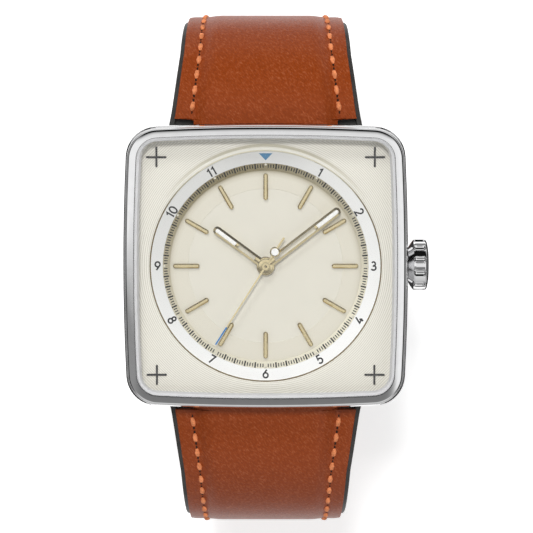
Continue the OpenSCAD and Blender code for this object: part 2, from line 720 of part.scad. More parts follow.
module mainspring_barrel() {
  wall = 0.3;
  z = barrel_z;
  color([0.85, 0.78, 0.55]) {
    translate([barrel_at[0], barrel_at[1], 0]) rotate_extrude() polygon([
      [0.5, z], [barrel_r - 0.5, z], [barrel_r - 0.5, z + barrel_h], [0.5, z + barrel_h],
      [0.5, z + barrel_h - 0.2], [barrel_r - 0.5 - wall, z + barrel_h - 0.2],
      [barrel_r - 0.5 - wall, z + 0.2], [0.5, z + 0.2]
    ]);
    wheel(barrel_at, z + 0.65, 0.35, barrel_teeth, barrel_mod, 225, arms = 0,
      bore = barrel_r - 0.52);
  }
}

// Outline of a flat spiral strip
function spiral(r0, r1, turns, w, k = 24) = let (n = round(turns * k)) concat(
  [for (i = [0 : n]) polar(r0 + (r1 - r0) * i / n, 360 * turns * i / n)],
  [for (i = [n : -1 : 0]) polar(r0 + w + (r1 - r0) * i / n, 360 * turns * i / n)]);

module mainspring() {
  color([0.6, 0.6, 0.65]) translate([barrel_at[0], barrel_at[1], barrel_z + 0.25])
    linear_extrude(height = barrel_h - 0.5)
      polygon(spiral(0.46, barrel_r - 0.92, 6, 0.11));
}

cannon_in_r = 0.28;
cannon_r = 0.44;
module centre_wheel() {
  color([0.85, 0.75, 0.5]) difference() {
    union() {
      wheel([0, 0], centre_z, wheel_t, centre_teeth, third_mod, 310, arms = 5);
      pin([0, 0], 0.4, centre_z - 0.03, motion_z);
      pin([0, 0], cannon_in_r, motion_z - 0.1, minute_z - 0.02);
      pinion([0, 0], barrel_z + 0.55, 0.5, centre_pinion_teeth, barrel_mod,
        mesh(225, barrel_teeth, centre_pinion_teeth, 225));
    }
    pin([0, 0], 0.2, centre_z - 1, seconds_z);
  }
}

module third_wheel() {
  color([0.85, 0.75, 0.5]) {
    wheel(third_at, third_z, wheel_t, third_teeth, fourth_mod, 130, arms = 5);
    pinion(third_at, third_z + wheel_t - 0.02, centre_z - third_z + 0.06, third_pinion_teeth,
      third_mod, mesh(310, centre_teeth, third_pinion_teeth, 310));
    arbor(third_at, bridge_z + bridge_t, plate_z);
  }
}

module fourth_wheel() {
  color([0.85, 0.75, 0.5]) {
    wheel([0, 0], fourth_z, wheel_t, fourth_teeth, escape_mod, 230, arms = 5);
    pinion([0, 0], fourth_z + wheel_t - 0.02, centre_z - fourth_z - wheel_t - 0.06,
      fourth_pinion_teeth, fourth_mod, mesh(130, third_teeth, fourth_pinion_teeth, 130));
    pin([0, 0], 0.16, fourth_z - 0.05, seconds_z);
    pin([0, 0], pivot_r, bridge_z + 0.3, fourth_z);
  }
}

escape_teeth = 20;
module escape_wheel() {
  p = 360 / escape_teeth;
  color([0.8, 0.8, 0.82]) {
    translate([escape_at[0], escape_at[1], pallet_z]) difference() {
      linear_extrude(height = wheel_t) polygon([for (i = [0 : escape_teeth - 1])
        each [polar(escape_r - 0.4, p * i), polar(escape_r, p * i + 0.3 * p),
          polar(escape_r - 0.03, p * i + 0.48 * p), polar(escape_r - 0.4, p * i + 0.4 * p)]]);
      for (i = [0 : 3]) translate([0, 0, -1]) linear_extrude(height = 3)
        polygon(window(0.45, escape_r - 0.65, 90 * i + 14, 90 * i + 76));
    }
    pinion(escape_at, fourth_z - 0.02, wheel_t + 0.1, escape_pinion_teeth, escape_mod,
      mesh(230, fourth_teeth, escape_pinion_teeth, 230));
    arbor(escape_at, bridge_z + bridge_t, plate_z);
  }
}

roller_r = 0.62 * plan;
impulse_at = 0.48 * plan;
module pallet_fork() {
  to_balance = escape_d + balance_from_escape - norm(pallet_at);
  color([0.8, 0.8, 0.82]) {
    translate([pallet_at[0], pallet_at[1], pallet_z]) rotate([0, 0, 230]) {
      difference() {
        union() {
          translate([0, -0.14, 0]) cube([to_balance - impulse_at + 0.12, 0.28, 0.15]);
          translate([to_balance - impulse_at - 0.15, -0.3, 0]) cube([0.27, 0.6, 0.15]);
          cylinder(r = 0.32, h = 0.15, $fn = 32);
          for (s = [-1, 1]) rotate([0, 0, s * 118]) translate([0, -0.12, 0])
            cube([1.25 * plan, 0.24, 0.15]);
        }
        translate([to_balance - impulse_at - 0.05, -0.1, -1]) cube([1, 0.2, 3]);
      }
      for (s = [-1, 1]) rotate([0, 0, s * 118]) translate([1.05 * plan, s * 0.1, 0])
        cube([0.2, 0.18, 0.15]);
    }
    pin(pallet_at, pivot_r, pallet_bridge_z + 0.02, plate_z + jewel_t - 0.02);
  }
}

module balance_wheel() {
  color([0.85, 0.75, 0.5]) {
    translate([balance_at[0], balance_at[1], 0]) {
      ring(balance_r - 0.4, balance_r, balance_z, balance_z + balance_t);
      for (a = [20, 110]) translate([0, 0, balance_z + 0.08]) rotate([0, 0, a])
        translate([-balance_r + 0.2, -0.15, 0]) cube([2 * balance_r - 0.4, 0.3, 0.14]);
      ring(0, 0.42, balance_z - 0.34, balance_z - 0.14);
      ring(0, roller_r, pallet_z - 0.08, pallet_z - 0.02);
      pin(polar(impulse_at, 50), 0.07, pallet_z - 0.04, pallet_z + 0.15);
      ring(0, arbor_r, bridge_z + bridge_t + 0.04, plate_z - 0.04);
      ring(0, pivot_r, bridge_z + bridge_t - 0.25, plate_z + 0.25);
    }
  }
}

hair_pitch = 0.5 * plan;
hair_w = 0.06;
hair_r0 = 0.43;
// Free distance between one turn of the hairspring and the next
hair_gap = hair_pitch - hair_w;
echo(hairspring_gap = hair_gap);
module hairspring() {
  r1 = hair_r0 + hair_pitch * hair_turns;
  color([0.35, 0.45, 0.7]) {
    translate([balance_at[0], balance_at[1], balance_z - 0.3]) linear_extrude(height = 0.12)
      polygon(spiral(hair_r0, r1, hair_turns, hair_w));
  }
}

module cannon_pinion() {
  color([0.8, 0.8, 0.82]) difference() {
    union() {
      pinion([0, 0], motion_z + 0.02, 0.2, cannon_teeth, minute_mod, 200);
      pin([0, 0], cannon_r, motion_z + 0.1, minute_z);
    }
    pin([0, 0], cannon_in_r, motion_z - 1, minute_z + 1);
  }
}

module minute_wheel() {
  color([0.85, 0.75, 0.5]) {
    wheel(minute_wheel_at, motion_z + 0.05, wheel_t, minute_wheel_teeth, minute_mod,
      mesh(200, cannon_teeth, minute_wheel_teeth, 200), arms = 0);
    pinion(minute_wheel_at, motion_z + 0.15, 0.27, hour_pinion_teeth, hour_mod,
      mesh(200, hour_wheel_teeth, hour_pinion_teeth, 200));
    pin(minute_wheel_at, pivot_r, plate_z + 0.45, motion_z + 0.1);
  }
}

module hour_wheel() {
  color([0.85, 0.75, 0.5]) difference() {
    union() {
      wheel([0, 0], motion_z + 0.28, wheel_t, hour_wheel_teeth, hour_mod, 200, arms = 0);
      pin([0, 0], 0.75, motion_z + 0.3, hour_z);
    }
    pin([0, 0], cannon_r + run, motion_z - 1, hour_z + 1);
  }
}

module keyless_pinions() {
  x0 = winding_x - 0.22;
  color([0.75, 0.75, 0.78]) translate([0, 0, stem_z]) rotate([0, 90, 0]) difference() {
    union() {
      translate([0, 0, x0]) linear_extrude(height = 0.75)
        polygon(teeth(winding_teeth, winding_mod, 0));
      translate([0, 0, x0 - 1.3]) cylinder(r = 0.55, h = 1.1, $fn = 32);
      translate([0, 0, x0 - 0.5]) linear_extrude(height = 0.4) polygon(teeth(12, 0.1, 0));
      translate([0, 0, x0 - 1.3]) linear_extrude(height = 0.3) polygon(teeth(12, 0.1, 0));
    }
    translate([0, 0, x0 - 2]) cylinder(r = stem_r + 0.02, h = 5, $fn = 32);
  }
}

stem_in = 1.7;
module winding_stem() {
  x1 = case_w / 2 + crown_gap + crown_in;
  color([0.75, 0.75, 0.78]) translate([winding_x - stem_in, 0, stem_z]) rotate([0, 90, 0])
    difference() {
      cylinder(r = stem_r, h = x1 - winding_x + stem_in, $fn = 48);
      translate([0, 0, 0.9 + stem_in]) ring(stem_r - 0.15, 1, 0, 0.3);
    }
}

module crown() {
  r = crown_d / 2;
  l = crown_l;
  x0 = case_w / 2 + crown_gap;
  color([0.78, 0.78, 0.8]) translate([x0, 0, stem_z]) rotate([0, 90, 0]) difference() {
    rotate_extrude() polygon([
      [tube_r - 0.1, 0], [r - 1.1, 0], [r - 0.35, 0.5], [r - 0.06, 0.72], [r, 1],
      [r, l - 0.55], [r - 0.1, l - 0.36], [r - 0.4, l - 0.22], [r - 1.2, l - 0.08], [0, l],
      [0, crown_in], [tube_r - 0.1, crown_in]
    ]);
    for (i = [0 : crown_flutes - 1]) rotate([0, 0, 360 / crown_flutes * (i + 0.5)])
      translate([r + 0.2, 0, 0]) {
        translate([0, 0, 1.1]) cylinder(r = 0.5, h = l - 2, $fn = 32);
        translate([0, 0, 1.1]) sphere(r = 0.5, $fn = 32);
        translate([0, 0, l - 0.9]) sphere(r = 0.5, $fn = 32);
      }
  }
}

// Hands

// Outline with parallel sides and a rounded outer end, from one radius to another
function bar_pts(w, r0, r1, k = 8) = concat(
  [[w / 2, r0]], [for (i = [0 : k]) [w / 2 * cos(180 * i / k), r1 - w / 2 + w / 2 * sin(180 * i / k)]],
  [[-w / 2, r0]]);

// A bevelled hand with a luminous slot near its tip and an open slot towards the hub
module hand(len, w, z, hub_r, bore, angle, lume_len, rail) {
  bevel = 0.12;
  rotate([0, 0, -angle]) difference() {
    union() {
      translate([0, 0, z]) linear_extrude(height = hand_t) polygon(bar_pts(w, 0, len));
      pin([0, 0], hub_r, z, z + hand_t);
    }
    for (s = [-1, 1]) translate([s * w / 2, hub_r, z + hand_t]) rotate([0, 45, 0])
      translate([-bevel / 2, 0, -bevel / 2]) cube([bevel, len, bevel]);
    translate([0, 0, z - 1]) linear_extrude(height = 2) polygon(
      bar_pts(w - 2 * rail, len - lume_len, len - rail));
    translate([0, 0, z - 1]) linear_extrude(height = 2) polygon([
      [w / 2 - rail, hub_r + 0.5], [w / 2 - rail, len - lume_len - 0.35],
      [-w / 2 + rail, len - lume_len - 0.35], [-w / 2 + rail, hub_r + 0.5]]);
    pin([0, 0], bore, z - 1, z + 1);
  }
}

module lume(len, w, z, angle, lume_len, rail) {
  rotate([0, 0, -angle]) translate([0, 0, z + 0.01]) linear_extrude(height = hand_t - 0.03)
    polygon(bar_pts(w - 2 * rail, len - lume_len, len - rail));
}

hour_lume_len = 3.45;
minute_lume_len = 3.6;
rail_w = 0.16;
module hour_hand() {
  color([0.85, 0.75, 0.5]) hand(hour_len, hour_w, hour_z, 1.27, 0.47, hour_angle, hour_lume_len,
    rail_w);
}
module hour_lume() {
  color([0.97, 0.97, 0.95]) lume(hour_len, hour_w, hour_z, hour_angle, hour_lume_len, rail_w);
}
module minute_hand() {
  color([0.85, 0.75, 0.5]) hand(minute_len, minute_w, minute_z, 1.14, 0.2, minute_angle,
    minute_lume_len, rail_w);
}
module minute_lume() {
  color([0.97, 0.97, 0.95]) lume(minute_len, minute_w, minute_z, minute_angle, minute_lume_len,
    rail_w);
}

tail_len = 4.33;
eye_at = 2.18;
eye_r = 0.65;
module seconds_hand() {
  h = seconds_w / 2;
  t = hand_t - 0.04;
  color([0.85, 0.75, 0.5]) rotate([0, 0, -seconds_angle]) difference() {
    union() {
      translate([0, 0, seconds_z]) linear_extrude(height = t) polygon([
        [h, 0], [h * 0.8, seconds_len], [-h * 0.8, seconds_len], [-h, 0]]);
      translate([-h * 1.3, -tail_len, seconds_z]) cube([h * 2.6, tail_len, t]);
      pin([0, -eye_at], eye_r, seconds_z, seconds_z + t);
      pin([0, 0], 0.52, seconds_z, seconds_z + t + 0.1);
    }
    pin([0, -eye_at], eye_r - 0.17, seconds_z - 1, seconds_z + 1);
    pin([0, 0], 0.16, seconds_z - 1, seconds_z + 1);
  }
}

// Strap

// Each half is drawn along the wrist side of the strap, out from its spring bar
arc1_r = 11.5;
arc2_r = 44;
arc3_r = 18.5;
arc2_a = 20;
ramp_a = 25;
end_a = 66;
buckle_y = -3;
start_z = bar_z - tongue_r;
strap_gap = 0.12;
leather_end = lining_t + leather_t;
ramp_drop = leather_end + strap_gap;
function arc_len(r, a) = r * a * PI / 180;
lead = case_w / 2 + 1 - bar_y;
short_path = [[lead, 0], [arc_len(arc1_r, 90), arc1_r], [arc_len(arc2_r, arc2_a), arc2_r],
  [arc_len(arc3_r, 90 - arc2_a), arc3_r]];
long_path = [[lead, 0], [arc_len(arc1_r, 90), arc1_r], [arc_len(arc2_r, arc2_a), arc2_r],
  [arc_len(arc3_r, 90 - arc2_a - ramp_a), arc3_r], [ramp_drop / sin(ramp_a), 0],
  [arc_len(arc3_r, ramp_a), arc3_r]];
function total(path, i = 0) = i >= len(path) ? 0 : path[i][0] + total(path, i + 1);
// One step along a path: position and heading after a straight or an arc
function advance(p, l, r) = r == 0
  ? [p[0] + l * cos(p[2]), p[1] + l * sin(p[2]), p[2]]
  : let (h = p[2] - l / r * 180 / PI)
    [p[0] + r * (sin(p[2]) - sin(h)), p[1] - r * (cos(p[2]) - cos(h)), h];
function walk(p, path, s, i = 0) = i >= len(path) || s <= path[i][0]
  ? advance(p, s, i < len(path) ? path[i][1] : 0)
  : walk(advance(p, path[i][0], path[i][1]), path, s - path[i][0], i + 1);
function place(path, s) = walk([bar_y, start_z, 0], path, s);
short_flat = place(short_path, total(short_path));
short_len = total(short_path) + short_flat[0] - buckle_y;
long_flat = place(long_path, total(long_path));
// The long half runs on flat, then follows the short half round its last arc
flat_run = long_flat[0] + short_flat[0];
wrap_r = arc3_r + ramp_drop;
full_path = concat(long_path, [[flat_run, 0], [arc_len(wrap_r, end_a), wrap_r]]);
long_len = total(full_path);
case_s = case_w / 2 + 0.05 - bar_y;
// Worn and closed, both halves lean towards 6 o'clock between the case and the buckle
lean_top = start_z - 0.5;
lean_foot = -24.5;
function lean(z) = z > lean_top || z < lean_foot ? 0
  : strap_lean * pow(sin(180 * (lean_top - z) / (lean_top - lean_foot)), 2);

function mix(a, b, t) = a + (b - a) * min(max(t, 0), 1);
function smooth(t) = let (u = min(max(t, 0), 1)) u * u * (3 - 2 * u);
pad_run = 30;
// Width of the strap and height of its leather at a distance from the spring bar
function strap_w(s) = s < 24 ? mix(strap_w0, strap_w1, (s - case_s) / (24 - case_s))
  : mix(strap_w1, strap_w2, (s - 24) / 40);
function pad(s) = leather_t + (pad_h - leather_t) * (1 - smooth((s - 4) / pad_run));
function border(s) = leather_t - 0.25 + (pad_h - leather_t) * 0.35 * (1 - smooth((s - 4) / pad_run));
// Half-width of the tip at the end of the long half
function tip(s, l) = s > l - tip_len ? sqrt(1 - 0.88 * pow((s - l + tip_len) / tip_len, 2)) : 1;
stitch_in = 2.5;
tip_len = 7;

// Cross-sections: across the strap, then out from its wrist side
function lining_pts(w, s) = [
  [-w / 2, 0.15], [-w / 2 + 0.15, 0], [w / 2 - 0.15, 0], [w / 2, 0.15], [w / 2, lining_t],
  [-w / 2, lining_t]];
function leather_pts(w, s) = let (
    h = lining_t + border(s), p = lining_t + pad(s), e = w / 2 - edge_w, c = e * 0.96,
    b = min(w / 2 - stitch_in, e * 0.8), d = b * 0.82, f = b * 0.45, m = mix(h, p, 0.7))
  [[-e, lining_t], [e, lining_t], [e, h - 0.35], [c, h], [b, h], [d, m], [f, p], [-f, p], [-d, m],
    [-b, h], [-c, h], [-e, h - 0.35]];
// A section point carried to its place along the path
function carry(p, at) = [p[0], at[0] - p[1] * sin(at[2]), at[1] + p[1] * cos(at[2])];

module sweep(path, stops, sections, side) {
  m = len(stops);
  n = len(sections[0]);
  points = [for (i = [0 : m - 1]) let (at = place(path, stops[i]), y = lean(at[1]))
    for (p = sections[i]) let (q = carry(p, at)) [q[0] * side, q[1] * side - y, q[2]]];
  sides = [for (i = [0 : m - 2]) for (j = [0 : n - 1]) let (a = i * n + j, b = i * n + (j + 1) % n)
    each [[a, b, b + n], [a, b + n, a + n]]];
  caps = [[for (j = [0 : n - 1]) n - 1 - j], [for (j = [0 : n - 1]) (m - 1) * n + j]];
  polyhedron(points = points, faces = concat(sides, caps), convexity = 10);
}

function stops(s0, s1, step) = let (n = ceil((s1 - s0) / step))
  [for (i = [0 : n]) s0 + (s1 - s0) * i / n];
strap_step = 2.6;
short_stops = stops(case_s, short_len - 1.2, strap_step);
// The short half's end, at its full thickness round the buckle's bar
loop_r = leather_end / 2;
loop_stops = [for (d = [-1, 0, 0.5, 0.8, 0.94]) short_len + d * loop_r];
function loop_pts(w, s) = let (k = sqrt(1 - pow(max(s - short_len, 0) / loop_r, 2)))
  [for (q = leather_pts(w, s)) [q[0], loop_r + ((q[1] > lining_t ? q[1] : 0) - loop_r) * k]];
long_stops = stops(case_s, long_len, strap_step);

// A cylinder through the strap at a distance along it
module strap_hole(path, s, side, r, slot = 0) {
  at = place(path, s);
  translate([0, side * at[0], at[1]]) rotate([-side * (90 - at[2]) + side * 90, 0, 0])
    for (d = [-slot, slot]) translate([0, d, -1]) cylinder(r = r, h = leather_end + 2, $fn = 32);
}

hole_s = total(long_path) - 3.4;
hole_at = place(full_path, hole_s);
module long_holes() {
  for (k = [-3 : 3]) if (k != 0) strap_hole(full_path, hole_s + hole_pitch * k, -1, hole_d / 2);
  strap_hole(full_path, hole_s, -1, 1.15, 0.7);
}

// The narrow end of each half, looped round its spring bar
module strap_tongue(side) {
  w = lug_w - 0.2;
  difference() {
    union() {
      translate([-w / 2, side * bar_y, bar_z]) rotate([0, 90, 0])
        cylinder(r = tongue_r, h = w, $fn = 48);
      translate([-w / 2, side > 0 ? bar_y : -bar_y - case_s - 0.3, start_z + lining_t + 0.03])
        cube([w, case_s + 0.3, 1.45]);
    }
    translate([-w, side * bar_y, bar_z]) rotate([0, 90, 0])
      cylinder(r = bar_r + run, h = 2 * w, $fn = 32);
    translate([-w, side > 0 ? bar_y : -bar_y - 2 * case_s, start_z - 1])
      cube([2 * w, 2 * case_s, 1 + lining_t]);
  }
}

module lining_tongue(side) {
  w = lug_w - 0.2;
  difference() {
    translate([-w / 2, side > 0 ? bar_y : -bar_y - case_s, start_z]) cube([w, case_s, lining_t]);
    translate([-w, side * bar_y, bar_z]) rotate([0, 90, 0])
      cylinder(r = bar_r + run, h = 2 * w, $fn = 32);
  }
}

module strap_short_leather() {
  color([0.53, 0.25, 0.12]) difference() {
    union() {
      strap_tongue(1);
      sweep(short_path, concat(short_stops, loop_stops), concat(
        [for (s = short_stops) leather_pts(strap_w(s), s)],
        [for (s = loop_stops) loop_pts(strap_w(s), s)]), 1);
    }
    translate([-strap_w2, buckle_y, buckle_bar_z]) rotate([0, 90, 0])
      cylinder(r = buckle_bar_r + run, h = 2 * strap_w2, $fn = 32);
    tongue_slot();
  }
}
module strap_short_lining() {
  color([0.15, 0.15, 0.15]) difference() {
    union() {
      sweep(short_path, short_stops, [for (s = short_stops) lining_pts(strap_w(s), s)], 1);
      lining_tongue(1);
    }
    tongue_slot();
  }
}
module strap_long_leather() {
  color([0.53, 0.25, 0.12]) difference() {
    union() {
      sweep(full_path, long_stops, [for (s = long_stops)
        leather_pts(strap_w(s) * tip(s, long_len), s)], -1);
      strap_tongue(-1);
    }
    long_holes();
  }
}
module strap_long_lining() {
  color([0.15, 0.15, 0.15]) difference() {
    union() {
      sweep(full_path, long_stops, [for (s = long_stops)
        lining_pts(strap_w(s) * tip(s, long_len), s)], -1);
      lining_tongue(-1);
    }
    long_holes();
  }
}

// Buckle and keepers

flat_z = short_flat[1];
buckle_bar_z = flat_z - leather_end / 2;
buckle_bar_r = 0.65;
buckle_in = strap_w2 / 2 + 0.5;
rail_t = 1.5;
frame_r = 1;
frame_out = 5.35;
base_z = flat_z - 2 * leather_end - strap_gap - 1.1;
frame_y = -hole_at[0] - frame_out;
frame_z = base_z + frame_r;

// Slot in the short half's end, where the tongue turns on the buckle's bar
module tongue_slot() {
  translate([-tongue_w / 2 - 0.15, buckle_y - 5, buckle_bar_z - 4])
    cube([tongue_w + 0.3, 5 + tongue_eye_r + 0.15, 8]);
}

module buckle_bar() {
  color([0.75, 0.75, 0.78]) translate([-buckle_in - 1, buckle_y, buckle_bar_z]) rotate([0, 90, 0])
    cylinder(r = buckle_bar_r, h = 2 * buckle_in + 2, $fn = 32);
}

module buckle_frame() {
  dy = frame_y - buckle_y;
  dz = frame_z - buckle_bar_z;
  out = buckle_in + rail_t;
  color([0.78, 0.78, 0.8]) difference() {
    union() {
      for (s = [-1, 1]) {
        translate([s > 0 ? buckle_in : -out, buckle_y, buckle_bar_z])
          rotate([atan2(dz, dy), 0, 0]) translate([0, 0, -0.85 * frame_r])
            cube([rail_t, norm([dy, dz]), 1.7 * frame_r]);
        for (p = [[buckle_y, buckle_bar_z], [frame_y, frame_z]])
          translate([s > 0 ? buckle_in : -out, p[0], p[1]]) rotate([0, 90, 0])
            cylinder(r = frame_r, h = rail_t, $fn = 48);
      }
      translate([-out, frame_y, frame_z]) rotate([0, 90, 0])
        cylinder(r = frame_r, h = 2 * out, $fn = 48);
    }
    translate([-out - 1, buckle_y, buckle_bar_z]) rotate([0, 90, 0])
      cylinder(r = buckle_bar_r + run, h = 2 * out + 2, $fn = 32);
    translate([-1.1, frame_y - 2, frame_z - frame_r - 1]) cube([2.2, 4, 1.95]);
  }
}

tongue_w = 1.7;
tongue_t = 0.85;
tongue_eye_r = buckle_bar_r + 0.5;
module buckle_tongue() {
  step_y = -hole_at[0];
  in_z = buckle_bar_z + 0.35;
  color([0.78, 0.78, 0.8]) difference() {
    union() {
      translate([-tongue_w / 2, buckle_y, buckle_bar_z]) rotate([0, 90, 0])
        cylinder(r = tongue_eye_r, h = tongue_w, $fn = 48);
      translate([-tongue_w / 2, step_y - tongue_t / 2, in_z - tongue_t / 2])
        cube([tongue_w, buckle_y - step_y, tongue_t]);
      translate([-tongue_w / 2, step_y - tongue_t / 2, base_z + 0.05])
        cube([tongue_w, tongue_t, in_z - base_z]);
      translate([-tongue_w / 2, frame_y - 0.7, base_z + 0.05])
        cube([tongue_w, step_y - frame_y + 0.7, tongue_t]);
      translate([-tongue_w / 2, frame_y - 0.7, base_z + 0.05 + tongue_t / 2]) rotate([0, 90, 0])
        cylinder(r = tongue_t / 2, h = tongue_w, $fn = 32);
    }
    translate([-tongue_w, buckle_y, buckle_bar_z]) rotate([0, 90, 0])
      cylinder(r = buckle_bar_r + run, h = 2 * tongue_w, $fn = 32);
  }
}

keeper_t = 1;
keeper_r = 1.3;
module keeper(y) {
  w = strap_w(total(short_path) + short_flat[0] - y - keeper_w) + 2 * gap;
  h = 2 * leather_end + strap_gap + 2 * gap;
  out = w / 2 + keeper_t;
  top = h + 2 * keeper_t;
  color([0.5, 0.24, 0.12]) difference() {
    union() {
      translate([-out + keeper_r, y, base_z]) cube([2 * (out - keeper_r), keeper_w, top]);
      translate([-out, y, base_z + keeper_r]) cube([2 * out, keeper_w, top - 2 * keeper_r]);
      for (s = [-1, 1], t = [keeper_r, top - keeper_r])
        translate([s * (out - keeper_r), y, base_z + t]) rotate([-90, 0, 0])
          cylinder(r = keeper_r, h = keeper_w, $fn = 48);
    }
    translate([-w / 2, y - 1, base_z + keeper_t]) cube([w, keeper_w + 2, h]);
  }
}
module fixed_keeper() {
  keeper(buckle_y + 3.2);
}
module free_keeper() {
  keeper(short_flat[0] - 3.86);
}

case_middle();
bezel();
crystal();
crystal_gasket();
case_back();
back_window();
back_gasket();
crown_tube();
movement_ring();
dial_plate();
chapter_ring();
minute_track();
dial_centre();
hour_markers();
corner_crosses();
main_plate();
barrel_bridge();
train_bridge();
automatic_bridge();
balance_cock();
pallet_bridge();
bridge_screws();
jewels();
rotor_bearing();
spring_bars();
strap_short_leather();
strap_short_lining();
strap_long_leather();
strap_long_lining();
fixed_keeper();
buckle_bar();
hour_hand();
hour_lume();
hour_wheel();
minute_hand();
minute_lume();
cannon_pinion();
centre_wheel();
seconds_hand();
fourth_wheel();
third_wheel();
escape_wheel();
pallet_fork();
balance_wheel();
hairspring();
mainspring_barrel();
mainspring();
ratchet_wheel();
crown_wheel();
keyless_pinions();
winding_stem();
crown();
minute_wheel();
reverser_wheel();
reverser_pinion();
rotor();
buckle_frame();
buckle_tongue();
free_keeper();
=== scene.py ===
import json
import math

import bpy
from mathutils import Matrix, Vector


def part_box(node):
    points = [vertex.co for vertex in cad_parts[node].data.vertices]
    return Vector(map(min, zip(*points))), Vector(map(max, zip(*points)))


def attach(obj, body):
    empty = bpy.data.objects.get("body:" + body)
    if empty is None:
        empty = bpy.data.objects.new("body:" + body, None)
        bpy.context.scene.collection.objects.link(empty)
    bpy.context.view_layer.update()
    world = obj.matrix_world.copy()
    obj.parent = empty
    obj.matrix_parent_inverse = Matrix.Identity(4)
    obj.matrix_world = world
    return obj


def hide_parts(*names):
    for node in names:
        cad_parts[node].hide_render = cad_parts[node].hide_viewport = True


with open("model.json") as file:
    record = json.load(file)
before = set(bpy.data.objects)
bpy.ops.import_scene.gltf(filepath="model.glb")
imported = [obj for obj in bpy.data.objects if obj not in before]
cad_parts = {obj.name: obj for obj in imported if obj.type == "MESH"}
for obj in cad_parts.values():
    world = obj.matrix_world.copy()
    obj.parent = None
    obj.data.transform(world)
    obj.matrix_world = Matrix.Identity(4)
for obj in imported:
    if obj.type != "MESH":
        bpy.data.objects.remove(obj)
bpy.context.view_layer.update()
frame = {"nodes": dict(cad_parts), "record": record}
MM = 0.001

# Meshes. All sizes are in millimetres, and the watch stands as in the CAD frame: hands' axis on Z,
# 12 o'clock towards +Y and the crown towards +X.


def add_mesh(name, points, faces, mats, smooth=True, sharp=None):
    """A mesh object. sharp is an angle in degrees above which edges stay crisp."""
    me = bpy.data.meshes.new(name)
    me.from_pydata([(x * MM, y * MM, z * MM) for x, y, z in points], [], faces)
    me.validate()
    for m in mats if isinstance(mats, list) else [mats]:
        me.materials.append(m)
    me.shade_smooth() if smooth else me.shade_flat()
    if smooth and sharp is not None:
        me.set_sharp_from_angle(angle=math.radians(sharp))
    ob = bpy.data.objects.new(name, me)
    bpy.context.scene.collection.objects.link(ob)
    return ob


def put(ob, body, slot, *nodes):
    """The piece rides on a body and stands for CAD nodes, which it hides. The slot is not used."""
    if nodes:
        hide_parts(*nodes)
    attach(ob, body)


class Builder:
    """Collects points and faces of several small solids into one mesh."""

    def __init__(self):
        self.points, self.faces, self.mats = [], [], []

    def add(self, points, faces, mat=0):
        n = len(self.points)
        self.points += points
        self.faces += [tuple(i + n for i in f) for f in faces]
        self.mats += [mat] * len(faces)

    def make(self, name, mats, smooth=True, sharp=None):
        ob = add_mesh(name, self.points, self.faces, mats, smooth, sharp)
        if any(self.mats):
            ob.data.polygons.foreach_set("material_index", self.mats)
        return ob


def loft(rings, shut=False, caps=True):
    """Points and faces of rings joined one to the next, with caps at both ends or shut into a loop."""
    n, m = len(rings[0]), len(rings)
    faces = [(k * n + i, k * n + (i + 1) % n, (k + 1) % m * n + (i + 1) % n, (k + 1) % m * n + i)
             for k in range(m if shut else m - 1) for i in range(n)]
    if caps and not shut:
        faces += [tuple(range(n - 1, -1, -1)), tuple((m - 1) * n + i for i in range(n))]
    return [p for ring in rings for p in ring], faces


def stack(outlines, heights, shut=False):
    """Points and faces of flat outlines placed one above another."""
    return loft([[(x, y, z) for x, y in o] for o, z in zip(outlines, heights)], shut)


def lathe(profile, n):
    """Points and faces of a ring turned about Z from a closed profile of (radius, height)."""
    turns = [-2 * math.pi * i / n for i in range(n)]
    return loft([[(r * math.cos(a), r * math.sin(a), z) for r, z in profile] for a in turns], shut=True)


def slab(top, faces, z0):
    """A closed solid from a sheet of top points and faces, with its foot at one height."""
    n = len(top)
    pts = list(top) + [(x, y, z0) for x, y, _ in top]
    out = list(faces) + [tuple(i + n for i in f[::-1]) for f in faces]
    edges = [(a, b) for f in faces for a, b in zip(f, f[1:] + f[:1])]
    shared = set(edges)
    out += [(b, a, a + n, b + n) for a, b in edges if (b, a) not in shared]
    return pts, out


def spun(x, y, deg):
    """A point turned counter-clockwise about the axis."""
    c, s = math.cos(math.radians(deg)), math.sin(math.radians(deg))
    return x * c - y * s, x * s + y * c


def bow(cx, cy, rx, ry, a0, a1, n=16):
    """Points along part of an ellipse, by angle in degrees."""
    turns = [math.radians(a0 + (a1 - a0) * i / n) for i in range(n + 1)]
    return [(cx + rx * math.cos(a), cy + ry * math.sin(a)) for a in turns]


def cushion(w, r):
    """Square outline with bowed sides and round corners."""
    bulge = 0.35
    rs = ((w / 2 - r) ** 2 + bulge ** 2) / (2 * bulge)
    d = rs - w / 2
    c = (-d + math.sqrt(2 * (rs - r) ** 2 - d * d)) / 2
    a = math.degrees(math.atan2(c, c + d))
    quarter = bow(-d, 0, rs, rs, -a, a, 40) + bow(c, c, r, r, a, 90 - a, 28)[1:-1]
    return [spun(x, y, 90 * k) for k in range(4) for x, y in quarter]


def smooth_step(t):
    """Rises softly from 0 to 1."""
    t = min(max(t, 0.0), 1.0)
    return t * t * (3 - 2 * t)


def mix(a, b, t):
    """The value between a and b at t, which is held within 0 and 1."""
    return a + (b - a) * min(max(t, 0.0), 1.0)


def srgb(r, g, b):
    """Colour of 0 to 255 in sRGB as linear RGBA."""
    def lin(v):
        v /= 255
        return v / 12.92 if v <= 0.04045 else ((v + 0.055) / 1.055) ** 2.4
    return lin(r), lin(g), lin(b), 1.0


def scaled(colour, k):
    """A colour made darker or lighter."""
    return tuple(min(c * k, 1.0) for c in colour[:3]) + (1.0,)

# Materials


